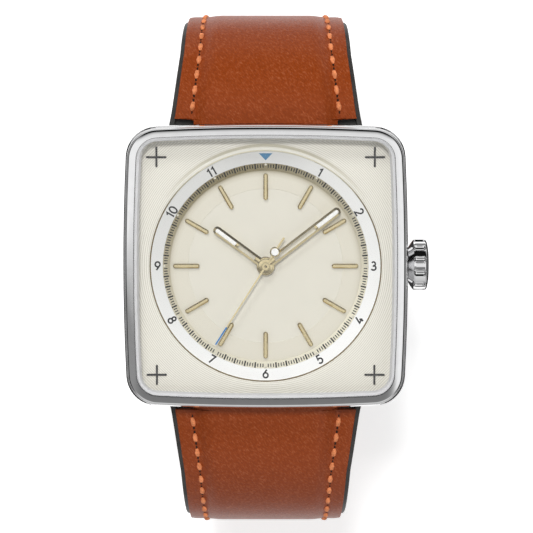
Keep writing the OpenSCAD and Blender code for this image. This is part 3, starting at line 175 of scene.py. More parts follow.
class Tree:
    """Writes a node tree."""

    def __init__(self, tree):
        self.tree = tree
        tree.nodes.clear()

    def add(self, kind, **values):
        node = self.tree.nodes.new(kind)
        for k, v in values.items():
            setattr(node, k, v)
        return node

    def link(self, a, b):
        self.tree.links.new(a, b)

    def feed(self, sockets, values):
        """Links sockets to values that are sockets, and sets them to the others."""
        for socket, v in zip(sockets, values):
            if isinstance(v, bpy.types.NodeSocket):
                self.link(v, socket)
            else:
                socket.default_value = v

    def math(self, op, *values):
        n = self.add("ShaderNodeMath", operation=op)
        self.feed(n.inputs, values)
        return n.outputs[0]

    def split(self, vector):
        """The X, Y and Z of a vector."""
        n = self.add("ShaderNodeSeparateXYZ")
        self.link(vector, n.inputs[0])
        return n.outputs

    def length(self, vector):
        n = self.add("ShaderNodeVectorMath", operation="LENGTH")
        self.link(vector, n.inputs[0])
        return n.outputs["Value"]

    def ramp(self, fac, *stops):
        """A colour by position. A stop's colour is linear RGBA or one number for a grey."""
        n = self.add("ShaderNodeValToRGB")
        el = n.color_ramp.elements
        while len(el) < len(stops):
            el.new(0.5)
        for e, (at, c) in zip(el, stops):
            e.position, e.color = at, c if isinstance(c, tuple) else (c, c, c, 1)
        self.link(fac, n.inputs[0])
        return n.outputs[0]

    def mixed(self, fac, a, b):
        """A mix of two shaders."""
        n = self.add("ShaderNodeMixShader")
        self.feed(n.inputs, (fac, a, b))
        return n.outputs[0]


class Surface(Tree):
    """A material: a Principled shader, and what feeds it."""

    def __init__(self, name, **values):
        self.mat = bpy.data.materials.new(name)
        self.mat.use_nodes = True
        super().__init__(self.mat.node_tree)
        self.out = self.add("ShaderNodeOutputMaterial")
        self.bsdf = self.add("ShaderNodeBsdfPrincipled")
        self.link(self.bsdf.outputs[0], self.out.inputs[0])
        for k, v in values.items():
            self.bsdf.inputs[k.replace("_", " ")].default_value = v

    def coords(self, scale=(1, 1, 1), turn=0.0):
        """Object coordinates, so that a texture stays with its piece, turned about Z and then scaled."""
        at = self.add("ShaderNodeTexCoord").outputs["Object"]
        for kind, value in (("Rotation", (0, 0, math.radians(turn))), ("Scale", scale)):
            mapping = self.add("ShaderNodeMapping")
            mapping.inputs[kind].default_value = value
            self.link(at, mapping.inputs[0])
            at = mapping.outputs[0]
        return at

    def noise(self, scale, detail=3.0, rough=0.55, coords=None):
        n = self.add("ShaderNodeTexNoise")
        for socket, v in (("Scale", scale), ("Detail", detail), ("Roughness", rough)):
            n.inputs[socket].default_value = v
        self.link(coords or self.coords(), n.inputs["Vector"])
        return n.outputs["Fac"]

    def cells(self, scale, coords, randomness=1.0):
        """Distance to the nearest of many scattered points."""
        n = self.add("ShaderNodeTexVoronoi")
        n.inputs["Scale"].default_value = scale
        n.inputs["Randomness"].default_value = randomness
        self.link(coords, n.inputs["Vector"])
        return n.outputs["Distance"]

    def blend(self, fac, a, b, kind="MIX"):
        n = self.add("ShaderNodeMix", data_type="RGBA", blend_type=kind)
        self.feed((n.inputs[0], n.inputs[6], n.inputs[7]), (fac, a, b))
        return n.outputs[2]

    def bump(self, height, distance, strength=1.0):
        n = self.add("ShaderNodeBump")
        n.inputs["Strength"].default_value = strength
        n.inputs["Distance"].default_value = distance
        self.link(height, n.inputs["Height"])
        self.link(n.outputs[0], self.bsdf.inputs["Normal"])

    def color(self, socket):
        self.link(socket, self.bsdf.inputs["Base Color"])
        return self.mat

    def rough(self, socket):
        self.link(socket, self.bsdf.inputs["Roughness"])


def mottled(n, base, amount, scale=900.0):
    """A colour that varies a little from place to place."""
    return n.color(n.ramp(n.noise(scale), (0.35, scaled(base, 1 - amount)), (0.65, scaled(base, 1 + amount))))


def metal(name, base, rough, amount):
    n = Surface(name, Metallic=1.0)
    n.rough(n.ramp(n.noise(1980), (0.3, rough * 0.85), (0.7, rough * 1.15)))
    return mottled(n, base, amount)


def plastic(name, base, rough, amount, scale=1200.0, grain=0.0, coat=0.0):
    """A surface that isn't metal: lacquer, rubber, thread or cloth."""
    n = Surface(name, Roughness=rough, Coat_Weight=coat)
    if grain:
        n.bump(n.noise(scale * 6, 4), grain)
    return mottled(n, base, amount, scale)


def clear_glass(name):
    """Glass that bends what is seen through it and lets lamps light what lies below."""
    n = Surface(name, Roughness=0.0, IOR=1.45, Transmission_Weight=1.0, Specular_IOR_Level=0.1)
    path = n.add("ShaderNodeLightPath")
    clear = n.add("ShaderNodeBsdfTransparent").outputs[0]
    lit = n.math("MAXIMUM", path.outputs["Is Shadow Ray"], path.outputs["Is Diffuse Ray"])
    n.link(n.mixed(lit, n.bsdf.outputs[0], clear), n.out.inputs[0])
    return n.color(n.ramp(n.noise(60), (0.2, (0.985, 0.99, 0.99, 1)), (0.8, 1)))

# The case

BEZEL_W, CASE_TOP, BEZEL_TOP = 35.5, 8.6, 10.3
CORNER_R, FACE = 3.9, 1.15
CRYSTAL_W, CRYSTAL_R, CRYSTAL_Z, CRYSTAL_T = 33.1, CORNER_R - FACE - 0.05, 9.05, 1.45
SEAT_W, SEAT_R = 33.1, CORNER_R - FACE + 0.05
DIAL_Z, DIAL_TOP, CHAPTER_Z, CHAPTER_TOP, PLATE_TOP = 6.02, 6.37, 6.52, 6.82, 7.17

steel = metal("polished_steel", (0.86, 0.86, 0.865, 1), 0.045, 0.015)
# Pale opaque band colour: a painted reflection of the crystal's bevel
crystal_bevel_painted_reflection = plastic("crystal_bevel_painted_reflection", (0.74, 0.74, 0.75, 1), 0.3, 0.02)


def cushion_ring(profile, base_w, base_r):
    """Ring of the bowed square outline, from a profile of (inset from the outline, height)."""
    return stack([cushion(base_w - 2 * i, max(base_r - i, 0.2)) for i, _ in profile],
                 [z for _, z in profile], shut=True)


def make_bezel():
    foot, skirt = PLATE_TOP + 0.02, CASE_TOP + 0.01
    dome = [(0.0, 0.5), (0.05, 0.33), (0.12, 0.22), (0.22, 0.135), (0.36, 0.075), (0.55, 0.034), (0.8, 0.01),
            (1.1, 0.0), (FACE, 0.05)]
    prof = [(1.66, foot), (1.2, foot), (1.2, skirt), (0.0, skirt)]
    prof += [(inset, BEZEL_TOP - drop) for inset, drop in dome]
    prof += [(FACE, CRYSTAL_Z - 0.2), (1.66, CRYSTAL_Z - 0.2)]
    pts, faces = cushion_ring(prof, BEZEL_W, CORNER_R)
    put(add_mesh("bezel_ring", pts, faces, steel, sharp=40), "case", "steel_case", "bezel")


def make_crystal():
    """The crystal, and the pale band round its lower edge, whose pale colour is a painted reflection of the crystal's
    bevel.
    """
    band = [(0.02, 0.02), (0.02, 0.5), (0.22, 0.5), (0.3, 0.36), (0.5, 0.3), (0.58, 0.12), (0.62, 0.02)]
    pts, faces = cushion_ring([(i, CRYSTAL_Z + z) for i, z in band], CRYSTAL_W, CRYSTAL_R)
    put(add_mesh("crystal_edge", pts, faces, crystal_bevel_painted_reflection, sharp=20), "case", None)
    layers = [(0.0, 0.0), (0.0, CRYSTAL_T - 0.42), (0.16, CRYSTAL_T - 0.3), (0.9, CRYSTAL_T - 0.02),
              (1.1, CRYSTAL_T), (3.2, CRYSTAL_T)]
    pts, faces = stack([cushion(CRYSTAL_W - d, CRYSTAL_R - d / 2 * 0.8) for d, _ in layers],
                       [CRYSTAL_Z + z for _, z in layers])
    put(add_mesh("crystal_glass", pts, faces, clear_glass("crystal_clear"), sharp=30), "case", "crystal", "crystal")


make_bezel()
make_crystal()

# The dial

HOLE_R, CHAPTER_R, TRACK_R, MOV_R = 14.6, 13.05, 12.15, 12.8
RIM = HOLE_R + 0.44
GROOVE = 0.237
ZONE_R = 9.8
DOT_AT, NUMERAL_AT, CROSS_AT = 12.87, 13.7, 13.8


def dial_place(n):
    """Sockets: millimetres from the dial's centre, how far towards 12 o'clock (-1 to 1) and X in millimetres."""
    flat = n.add("ShaderNodeVectorMath", operation="MULTIPLY")
    flat.inputs[1].default_value = (1000, 1000, 0)
    n.link(n.add("ShaderNodeTexCoord").outputs["Object"], flat.inputs[0])
    at = n.split(flat.outputs[0])
    r = n.length(flat.outputs[0])
    return r, n.math("DIVIDE", at["Y"], r), at["X"]


def grooved(name, light, dark):
    """Cream lacquer over fine rings round the dial's centre, painted darker in the rings' hollows and lighter on
    their crests as painted shade and light, with a painted highlight and painted shade round its opening towards 12
    o'clock.
    """
    n = Surface(name, Roughness=0.38, Specular_IOR_Level=0.35)
    r, up, _ = dial_place(n)
    wave = n.math("SINE", n.math("MULTIPLY", r, 2 * math.pi / GROOVE))
    unit = n.math("MULTIPLY_ADD", wave, 0.5, 0.5)
    n.bump(unit, 0.00002, 0.35)
    out = n.math("SUBTRACT", r, HOLE_R)
    # Painted highlight and painted shade at the opening: a bright arc next to it and a beige arc outside, masked to
    # the 12 o'clock side
    lip = n.ramp(out, (0.05, srgb(228, 220, 190)), (0.2, srgb(250, 248, 238)), (0.42, srgb(244, 241, 228)),
                 (0.56, srgb(196, 190, 168)), (0.8, srgb(200, 194, 174)), (0.98, light))
    near = n.ramp(out, (0.85, 1), (1.0, 0))
    top = n.ramp(up, (0.55, 0), (0.93, 1))
    # The rings' colour follows their height: painted shade in the hollows, painted light on the crests
    return n.color(n.blend(n.math("MULTIPLY", near, top), n.ramp(unit, (0.0, dark), (1.0, light)), lip))


def shadowed(name, base, outer, dark):
    """Lacquer in two zones, with a painted shadow under the minute track on its 12 o'clock side."""
    n = Surface(name, Roughness=0.45, Specular_IOR_Level=0.3)
    r, up, _ = dial_place(n)
    # Painted shadow: darker near the track's inner edge, most on the 12 o'clock side
    near = n.ramp(n.math("SUBTRACT", r, TRACK_R - 1), (0.1, 0), (0.55, 0.25), (0.85, 0.7), (1.0, 1))
    side = n.ramp(n.math("MULTIPLY_ADD", up, 0.5, 0.5), (0.3, 0.1), (0.95, 0.9))
    inner = n.ramp(n.noise(300), (0.3, base), (0.7, scaled(base, 1.02)))
    lacquer = n.blend(n.math("GREATER_THAN", r, ZONE_R), inner, outer)
    return n.color(n.blend(n.math("MULTIPLY", near, side), lacquer, dark))


def shaded(name, dark, light, **values):
    """Painted light and shade: a colour that lightens from 11 o'clock to 5 o'clock as the light falls, a little
    uneven as lacquer is.
    """
    n = Surface(name, **values)
    _, up, x = dial_place(n)
    across = n.math("MULTIPLY_ADD", x, 0.014, n.math("MULTIPLY_ADD", up, -0.38, 0.5))
    return n.color(n.ramp(n.math("MULTIPLY_ADD", n.noise(700), 0.04, across), (0.08, dark), (0.9, light)))


def lip_paint():
    """Pale towards 12 o'clock as a painted highlight, where the light falls on the lip, and brown elsewhere."""
    n = Surface("dial_lip_with_painted_light", Roughness=0.35)
    up = n.math("MULTIPLY_ADD", dial_place(n)[1], 0.5, n.math("MULTIPLY", n.noise(900), 0.06))
    return n.color(n.ramp(up, (0.28, srgb(112, 95, 56)), (0.46, srgb(236, 230, 206))))


dial_mat = grooved("dial_grooves", srgb(247, 244, 234), srgb(217, 213, 199))
# The last colour is the painted shadow under the minute track
centre_mat = shadowed("dial_centre_lacquer", srgb(226, 222, 208), srgb(225, 220, 204), srgb(150, 138, 104))
lip_mat = lip_paint()
# Chapter ring and minute track: painted shade towards 11 o'clock, painted light towards 5 o'clock
white_mat = shaded("chapter_white", srgb(214, 214, 211), srgb(255, 255, 253), Roughness=0.4)
track_mat = shaded("track_gold", srgb(140, 127, 88), srgb(252, 246, 224), Roughness=0.35, Metallic=0.3)
gold = metal("gold", srgb(232, 216, 172), 0.12, 0.03)
black = plastic("black_lacquer", (0.012, 0.012, 0.012, 1), 0.25, 0.2)
ink = mottled(Surface("dial_ink", Roughness=0.6, Specular_IOR_Level=0.1), (0.008, 0.008, 0.009, 1), 0.2)
blue_mat = plastic("blue_paint", srgb(68, 126, 164), 0.4, 0.05)
lume_mat = plastic("lume", srgb(250, 250, 247), 0.6, 0.01)
dot_mat = plastic("hour_dot", srgb(224, 220, 203), 0.5, 0.02)


def make_dial_plate():
    """The square plate, from its round opening out to its bowed edge."""
    edge = sorted(cushion(SEAT_W, SEAT_R), key=lambda p: math.atan2(p[1], p[0]))
    unit = [(x / math.hypot(x, y), y / math.hypot(x, y)) for x, y in edge]
    lip = [(HOLE_R - 0.04, CHAPTER_Z), (HOLE_R - 0.04, PLATE_TOP - 0.26), (HOLE_R, PLATE_TOP - 0.2),
           (HOLE_R + 0.13, PLATE_TOP - 0.11), (HOLE_R + 0.36, PLATE_TOP - 0.03), (RIM, PLATE_TOP)]
    rings = [[(ux * r, uy * r, z) for ux, uy in unit] for r, z in lip]
    for f in (0.25, 0.5, 0.75, 1.0):
        rings.append([(mix(ux * RIM, x, f), mix(uy * RIM, y, f), PLATE_TOP) for (ux, uy), (x, y) in zip(unit, edge)])
    rings.append([(x, y, CHAPTER_Z) for x, y in edge])
    pts, faces = loft(rings, shut=True)
    ob = add_mesh("dial_square", pts, faces, [dial_mat, lip_mat], sharp=35)
    on_lip = [int(i // len(edge) in (1, 2)) for i in range(len(faces))]
    ob.data.polygons.foreach_set("material_index", on_lip)
    put(ob, "case", "dial_cream", "dial_plate")


def lathe_piece(name, profile, mat, slot, *nodes):
    pts, faces = lathe(profile, 256)
    put(add_mesh(name, pts, faces, mat, sharp=30), "case", slot, *nodes)


def slope_z(r):
    """Height of the sloped minute track at a radius."""
    return mix(DIAL_TOP + 0.12, CHAPTER_TOP - 0.02, (r - TRACK_R) / (CHAPTER_R - 0.01 - TRACK_R))


def tick(r0, r1, w, deg):
    """A bar that lies on the sloped track along a radius."""
    flat = [(r0, -w / 2), (r1, -w / 2), (r1, w / 2), (r0, w / 2)]
    return loft([[(*spun(r, q, 90 - deg), slope_z(r) + lift) for r, q in flat] for lift in (-0.02, 0.008)])


def disc(at, r, z0, z1, n, dome=0.0):
    """An upright pin whose top is flat or a low dome."""
    ring = bow(*at, r, r, 0, 360, n)[:-1]
    pts, faces = stack([ring, ring], [z0, z1])
    if dome:
        pts.append((*at, z1 + dome))
        faces[-1:] = [(n + i, n + (i + 1) % n, 2 * n) for i in range(n)]
    return pts, faces


def make_track():
    outer = CHAPTER_R - 0.01
    profile = [(TRACK_R, DIAL_TOP), (MOV_R, DIAL_TOP), (MOV_R, CHAPTER_Z), (outer, CHAPTER_Z),
               (outer, slope_z(outer)), (TRACK_R, slope_z(TRACK_R))]
    lathe_piece("minute_slope", profile, track_mat, "gold", "minute_track")
    ticks, dots = Builder(), Builder()
    for i in range(240):
        deg = i * 1.5
        if i % 20 == 0:
            z = slope_z(DOT_AT)
            dots.add(*disc(spun(DOT_AT, 0, 90 - deg), 0.15, z - 0.05, z + 0.04, 24, 0.02))
        else:
            ticks.add(*(tick(12.34, 13.02, 0.19, deg) if i % 4 == 0 else tick(12.46, 12.9, 0.13, deg)))
    put(ticks.make("minute_ticks", ink, smooth=False), "case", "black_lacquer")
    put(dots.make("minute_dots", dot_mat), "case", None)


# Each character's width and its strokes, one unit tall
GLYPHS = {
    "0": (0.62, [bow(0.31, 0.5, 0.31, 0.5, 0, 360, 24)]),
    "1": (0.3, [[(0.02, 0.8), (0.27, 1.0), (0.27, 0.0)]]),
    "2": (0.6, [bow(0.3, 0.7, 0.27, 0.3, 165, -38) + [(0.02, 0.0), (0.6, 0.0)]]),
    "3": (0.58, [bow(0.27, 0.755, 0.22, 0.245, 150, -85) + bow(0.27, 0.27, 0.29, 0.27, 85, -150)]),
    "4": (0.64, [[(0.4, 1.0), (0.02, 0.26), (0.64, 0.26)], [(0.46, 0.52), (0.46, 0.0)]]),
    "5": (0.58, [[(0.53, 1.0), (0.13, 1.0), (0.07, 0.53)] + bow(0.27, 0.31, 0.3, 0.31, 118, -148)]),
    "6": (0.6, [[(0.44, 1.0), (0.06, 0.44)], bow(0.3, 0.3, 0.29, 0.3, 0, 360, 24)]),
    "7": (0.56, [[(0.0, 1.0), (0.56, 1.0), (0.18, 0.0)]]),
    "8": (0.58, [bow(0.29, 0.76, 0.22, 0.24, 0, 360, 20), bow(0.29, 0.27, 0.28, 0.27, 0, 360, 24)]),
    "9": (0.6, [[(0.16, 0.0), (0.54, 0.56)], bow(0.3, 0.7, 0.29, 0.3, 0, 360, 24)]),
}


def ribbon(points, width):
    """Top points and faces of a flat stroke along a line."""
    shut = math.dist(points[0], points[-1]) < 1e-6
    line = points[:-1] if shut else points
    n = len(line)
    top = []
    for i, (x, y) in enumerate(line):
        a = line[i - 1] if shut or i else line[0]
        b = line[(i + 1) % n] if shut or i < n - 1 else line[-1]
        u, v = Vector((x - a[0], y - a[1])), Vector((b[0] - x, b[1] - y))
        u, v = (u.normalized() if u.length else v.normalized()), (v.normalized() if v.length else u.normalized())
        t = (u + v).normalized()
        k = width / 2 / max(t.dot(u), 0.5)
        top += [(x - t.y * k, y + t.x * k), (x + t.y * k, y - t.x * k)]
    faces = [(2 * i + 1, 2 * ((i + 1) % n) + 1, 2 * ((i + 1) % n), 2 * i) for i in range(n if shut else n - 1)]
    return top, faces


UPRIGHT_TURN = {1: 30, 2: 60, 3: 0, 4: -60, 5: -30, 6: 0, 7: 30, 8: 60, 9: 0, 10: -60, 11: -30}


def make_numerals():
    """The hours 1 to 11, each turned so that it can be read."""
    out = Builder()
    tall, stroke, gap = 1.04, 0.2, 0.29
    for h, turn in UPRIGHT_TURN.items():
        text = str(h)
        px, py = spun(NUMERAL_AT, 0, 90 - h * 30)
        left = -(sum(GLYPHS[c][0] for c in text) + gap * (len(text) - 1)) / 2
        for c in text:
            for line in GLYPHS[c][1]:
                top, faces = ribbon([((left + x) * tall, (y - 0.5) * tall) for x, y in line], stroke)
                top = [(px + x, py + y, CHAPTER_TOP + 0.012) for x, y in (spun(*p, -turn) for p in top)]
                out.add(*slab(top, faces, CHAPTER_TOP - 0.005))
            left += GLYPHS[c][0] + gap
    put(out.make("dial_numerals", ink, smooth=False), "case", "black_lacquer")


def make_triangle():
    flat = [(-0.87, 14.3), (0.0, 13.4), (0.87, 14.3)]
    pts, faces = stack([flat, flat], [CHAPTER_TOP - 0.01, CHAPTER_TOP + 0.012])
    put(add_mesh("dial_triangle", pts, faces, blue_mat, smooth=False), "case", "blued_steel")


def make_markers():
    """Twelve batons with a flat polished top and sloped sides and ends."""
    b = Builder()
    half, r0, r1, h, bev = 0.285, 8.38, 11.76, 0.5, 0.15
    for i in range(12):
        outlines = []
        for hw in (half, half, half - bev):
            ring = bow(0, r1 - half, hw, hw, 0, 180, 12) + bow(0, r0 + half, hw, hw, 180, 360, 12)
            outlines.append([spun(x, y, -30 * i) for x, y in ring])
        b.add(*stack(outlines, [DIAL_TOP, DIAL_TOP + h - bev, DIAL_TOP + h]))
    put(b.make("hour_batons", gold, sharp=30), "case", "gold", "hour_markers")


def make_crosses():
    b = Builder()
    half, end, h = 0.125, 1.27, 0.14
    arm = [(half, half)] + bow(0, end - half, half, half, 0, 180, 8)
    ring = [spun(x, y, 90 * q) for q in range(4) for x, y in arm]
    for sx in (-1, 1):
        for sy in (-1, 1):
            outlines = [[(sx * CROSS_AT + x * k, sy * CROSS_AT + y * k) for x, y in ring] for k in (1.0, 1.0, 0.985)]
            b.add(*stack(outlines, [PLATE_TOP, PLATE_TOP + h - 0.02, PLATE_TOP + h]))
    put(b.make("dial_crosses", black, sharp=40), "case", "black_lacquer", "corner_crosses")


make_dial_plate()
chapter = [(CHAPTER_R, CHAPTER_Z), (HOLE_R - 0.03, CHAPTER_Z), (HOLE_R - 0.03, CHAPTER_TOP), (CHAPTER_R, CHAPTER_TOP)]
lathe_piece("chapter_band", chapter, white_mat, "chapter_white", "chapter_ring")
make_track()
make_numerals()
make_triangle()
make_markers()
make_crosses()
well = [(1.15, DIAL_Z), (MOV_R, DIAL_Z), (MOV_R, DIAL_TOP), (9.82, DIAL_TOP), (9.78, DIAL_TOP - 0.04),
        (1.15, DIAL_TOP - 0.04)]
lathe_piece("dial_well", well, centre_mat, "dial_cream", "dial_centre")

# The hands

HOUR_Z, MINUTE_Z, SECONDS_Z = 7.07, 7.45, 7.83


def turned(points, deg):
    """Points drawn along 12 o'clock, turned clockwise."""
    return [(*spun(x, y, -deg), z) for x, y, z in points]


def make_hand(which, length, width, z, hub_r, bore, angle, lume_len):
    """A hand with two windows, and the luminous fill of the outer one."""
    rail, rise, edge, k = 0.28, 0.3, 0.05, 14
    half, inner = width / 2, width / 2 - rail

    def zt(x):
        return z + edge + min(rise * (1 - abs(x) / half), 0.2)

    def row(y):
        return [(-inner, y, zt(inner)), (0, y, zt(0)), (inner, y, zt(inner))]
    y_end = length - half
    lume_in = length - lume_len
    root, window_in, window_out = 0.6, hub_r + 0.5, lume_in - 0.35
    b = Builder()
    # The two rails, the bridges between the windows and the rounded tip
    for s, face in ((-1, (0, 1, 3, 2)), (1, (1, 0, 2, 3))):
        b.add(*slab([(s * x, y, zt(x)) for y in (root, y_end) for x in (half, inner)], [face], z))
    for ya, yb in ((root, window_in), (window_out, lume_in)):
        b.add(*slab(row(ya) + row(yb), [(0, 1, 4, 3), (1, 2, 5, 4)], z))
    top = [(x, y, zt(r)) for r in (half, inner) for x, y in bow(0, y_end, r, r, 0, 180, k)]
    b.add(*slab(top, [(i, i + 1, k + 2 + i, k + 1 + i) for i in range(k)], z))
    b.add(*lathe([(bore, z), (hub_r, z), (hub_r, z + 0.13), (hub_r - 0.06, z + 0.17), (hub_r - 0.32, z + 0.2),
                  (bore, z + 0.2)], 96))
    b.points = turned(b.points, angle)
    put(b.make(f"{which}_pointer", gold, sharp=25), which, "gold", f"{which}_hand")

    lume = Builder()
    ring = [(-inner, lume_in), (inner, lume_in)] + bow(0, length - rail - inner, inner, inner, 0, 180, k)
    top = [(x, y, z + 0.1) for x, y in ring]
    top += [(x * 0.55, lume_in + 0.15 + (y - lume_in) * 0.955, z + 0.14) for x, y in ring]
    n = len(ring)
    faces = [(i, (i + 1) % n, n + (i + 1) % n, n + i) for i in range(n)] + [tuple(range(n, 2 * n))]
    lume.add(*slab(top, faces, z + 0.02))
    lume.points = turned(lume.points, angle)
    put(lume.make(f"{which}_pointer_fill", lume_mat, sharp=60), which, "lume", f"{which}_lume")


def make_seconds():
    z, angle, h, tip, tail, eye, eye_r = SECONDS_Z, 212.6, 0.115, 11.76, 4.33, 2.18, 0.645
    paint_in = tip - 2.6
    b = Builder()

    def spine(y0, y1, w0, w1):
        """A bar whose top rises to a ridge."""
        top = [(x, y, z + (0.1 if x else 0.13)) for y, w in ((y0, w0), (y1, w1)) for x in (w, 0, -w)]
        b.add(*slab(top, [(0, 3, 4, 1), (1, 4, 5, 2)], z))
    spine(-0.3, paint_in, h, h * 0.8)
    flat = [(h * 0.8, paint_in), (h * 0.75, tip), (-h * 0.75, tip), (-h * 0.8, paint_in)]
    b.add(*slab([(x, y, z + 0.1) for x, y in flat], [(0, 1, 2, 3)], z), 1)
    spine(-1.56, 0.2, h, h)
    spine(-tail, -eye - 0.5, h * 1.25, h * 1.25)
    pts, faces = lathe([(0.47, z), (eye_r, z), (eye_r, z + 0.09), (0.56, z + 0.14), (0.47, z + 0.1)], 64)
    b.add([(x, y - eye, q) for x, y, q in pts], faces)
    b.add(*lathe([(0.16, z - 0.04), (0.52, z - 0.04), (0.52, z + 0.16), (0.46, z + 0.21), (0.16, z + 0.21)], 64))
    b.points = turned(b.points, angle)
    put(b.make("seconds_pointer", [gold, blue_tip], sharp=30), "seconds", "gold", "seconds_hand")
    for name, at, size, mat, slot in (
            ("seconds_fill", (0, -eye), (0.475, z, z + 0.08, 40, 0.04), lume_mat, "lume"),
            ("seconds_eye", (0, 0), (0.155, z - 0.02, z + 0.12, 32), black, "black_lacquer")):
        pts, faces = disc(at, *size)
        put(add_mesh(name, turned(pts, angle), faces, mat, sharp=60), "seconds", slot)


blue_tip = plastic("tip_paint", srgb(0, 120, 190), 0.35, 0.05)
make_hand("hour", 8.12, 1.06, HOUR_Z, 1.15, 0.47, 306.4, 3.45)
make_hand("minute", 11.85, 1.1, MINUTE_Z, 0.96, 0.2, 52.4, 3.6)
make_seconds()

# The strap. s is the distance along it from the spring bar, and h its heading, which is negative downwards.

BAR_Y, START_Z = 16.2, 1.7
LINING_T, LEATHER_T, PAD_H, EDGE_W = 1.0, 1.3, 2.9, 0.55
# Radii of the loop from the case down to the buckle. Angles of the middle arc, of the ramp on which the long half
# climbs over the short one, and of its tail.
ARC1, ARC2, ARC3, ARC2_A, RAMP_A, END_A = 11.5, 44.0, 18.5, 20.0, 25.0, 66.0
BUCKLE_Y, STRAP_GAP, CASE_S = -3.0, 0.12, 18.05 - 16.2
RAMP_DROP = LINING_T + LEATHER_T + STRAP_GAP
LEAD = 19.0 - BAR_Y
STITCH_IN, STITCH_PITCH, POINT_L = 2.6, 1.72, 7
PUNCH_R, PUNCH_PITCH, PUNCH_FROM_FLAT = 0.9, 6.5, 3.4
# How far each side's half leans towards 6 o'clock, and the heights between which it does
LEAN, LEAN_TOP, LEAN_FOOT = {1: 1.25, -1: 1.8}, START_Z - 0.5, -24.5


def arc(r, a):
    """Length of an arc of a degrees."""
    return r * math.radians(a)


def length_of(path):
    return sum(step for step, _ in path)


def walk(path, s):
    """Position along the strap (out from the middle, up) and heading, at a distance from the spring bar."""
    y, z, h = BAR_Y, START_Z, 0.0
    for length, r in path + [(1e9, 0)]:
        step = min(s, length)
        if r == 0:
            y, z = y + step * math.cos(h), z + step * math.sin(h)
        else:
            h2 = h - step / r
            y, z, h = y + r * (math.sin(h) - math.sin(h2)), z - r * (math.cos(h) - math.cos(h2)), h2
        s -= step
        if s <= 0:
            break
    return y, z, h


def lean(z, side):
    """How far a side's half leans towards 6 o'clock at a height."""
    if z > LEAN_TOP or z < LEAN_FOOT:
        return 0.0
    return LEAN[side] * math.sin(math.pi * (LEAN_TOP - z) / (LEAN_TOP - LEAN_FOOT)) ** 2


def placed(at, side, x, u, q=0.0):
    """A point x across the strap, u above its wrist side and q along it, from a place on its path."""
    y, z, h = at
    return (x * side, (y + q * math.cos(h) - u * math.sin(h)) * side - lean(z, side),
            z + q * math.sin(h) + u * math.cos(h))


def strap_w(s):
    """Width of the strap, without the long half's point."""
    if s < 10:
        return mix(24.7, 22.0, (max(s - CASE_S, 0.0) / (10 - CASE_S)) ** 0.8)
    return mix(22.0, 20.3, (s - 10) / 14) if s < 24 else mix(20.3, 18.0, (s - 24) / 40)


def pad(s):
    """Thickness of the padded leather along its middle."""
    return LEATHER_T + (PAD_H - LEATHER_T) * (1 - smooth_step((s - 2) / 27))


def border(s):
    """Thickness of the leather between its seams and its edges."""
    return LEATHER_T - 0.25 + 0.6 * (1 - smooth_step((s - 16) / 18))


def leather_height(x, w, s):
    """Height of the leather above the wrist side, across the strap."""
    e = w / 2 - EDGE_W
    b = min(w / 2 - STITCH_IN - 0.2, e * 0.8)
    h, p = LINING_T + border(s), LINING_T + pad(s)
    x = abs(x)
    if x >= b:
        groove = math.exp(-((x - (w / 2 - STITCH_IN)) / 0.28) ** 2) * 0.07
        return h - groove - 0.08 * smooth_step((x - e + 0.7) / 0.7)
    t = 1 - (x / b) ** 2
    return h + (p - h) * smooth_step(min(1.0, t * 2.3)) ** 0.8


def leather_section(s, w):
    e = min(w / 2 - EDGE_W, 9.2 + 3.2 * smooth_step((s - CASE_S - 0.42) / 0.25))
    top = [e * math.sin(math.pi / 2 * (1 - 2 * i / 40)) for i in range(41)]
    return [(-e, LINING_T), (e, LINING_T)] + [
        (x, leather_height(x, w, s) - (0.16 if abs(x) > e - 0.02 else 0.0)) for x in top]


def lining_section(s, w):
    h, e, low = LINING_T + 0.55 * border(s), w / 2, LINING_T - 0.02
    half = [(e - 0.15, 0.0), (e, 0.15), (e, h - 0.12), (e - 0.12, h), (e - EDGE_W - 0.1, h), (e - EDGE_W - 0.15, low)]
    return half + [(-x, z) for x, z in reversed(half)]


def steps(a, b, d):
    """Even stops from a to b, at most d apart."""
    n = math.ceil((b - a) / d)
    return [a + (b - a) * i / n for i in range(n + 1)]


def leather_material(name, base):
    n = Surface(name, Specular_IOR_Level=0.4)
    co = n.coords()
    streaks = n.noise(1.0, 4, 0.62, n.coords((5600, 1900, 2400), -42))
    grain = n.cells(3200, co)
    fine = n.noise(5200, 5, 0.65, co)
    n.rough(n.ramp(fine, (0.3, 0.34), (0.7, 0.46)))
    n.bump(n.math("ADD", n.math("MULTIPLY", grain, 0.6), n.math("ADD", streaks, fine)), 0.00006, 0.5)
    tone = n.ramp(streaks, (0.28, scaled(base, 0.78)), (0.52, base), (0.85, srgb(182, 104, 66)))
    return n.color(n.blend(0.5, tone, n.ramp(grain, (0.0, 0.86), (0.45, 1)), "MULTIPLY"))


leather = leather_material("brown_leather", srgb(146, 60, 5))
lining = plastic("black_lining", (0.045, 0.044, 0.042, 1), 0.5, 0.25, 700, 3e-6)
thread = plastic("salmon_thread", srgb(232, 142, 92), 0.7, 0.2, 2500, 3e-6)
# Near black for the needle holes: painted shade
hole = plastic("needle_hole_painted_shade", (0.02, 0.008, 0.004, 1), 0.8, 0.2)


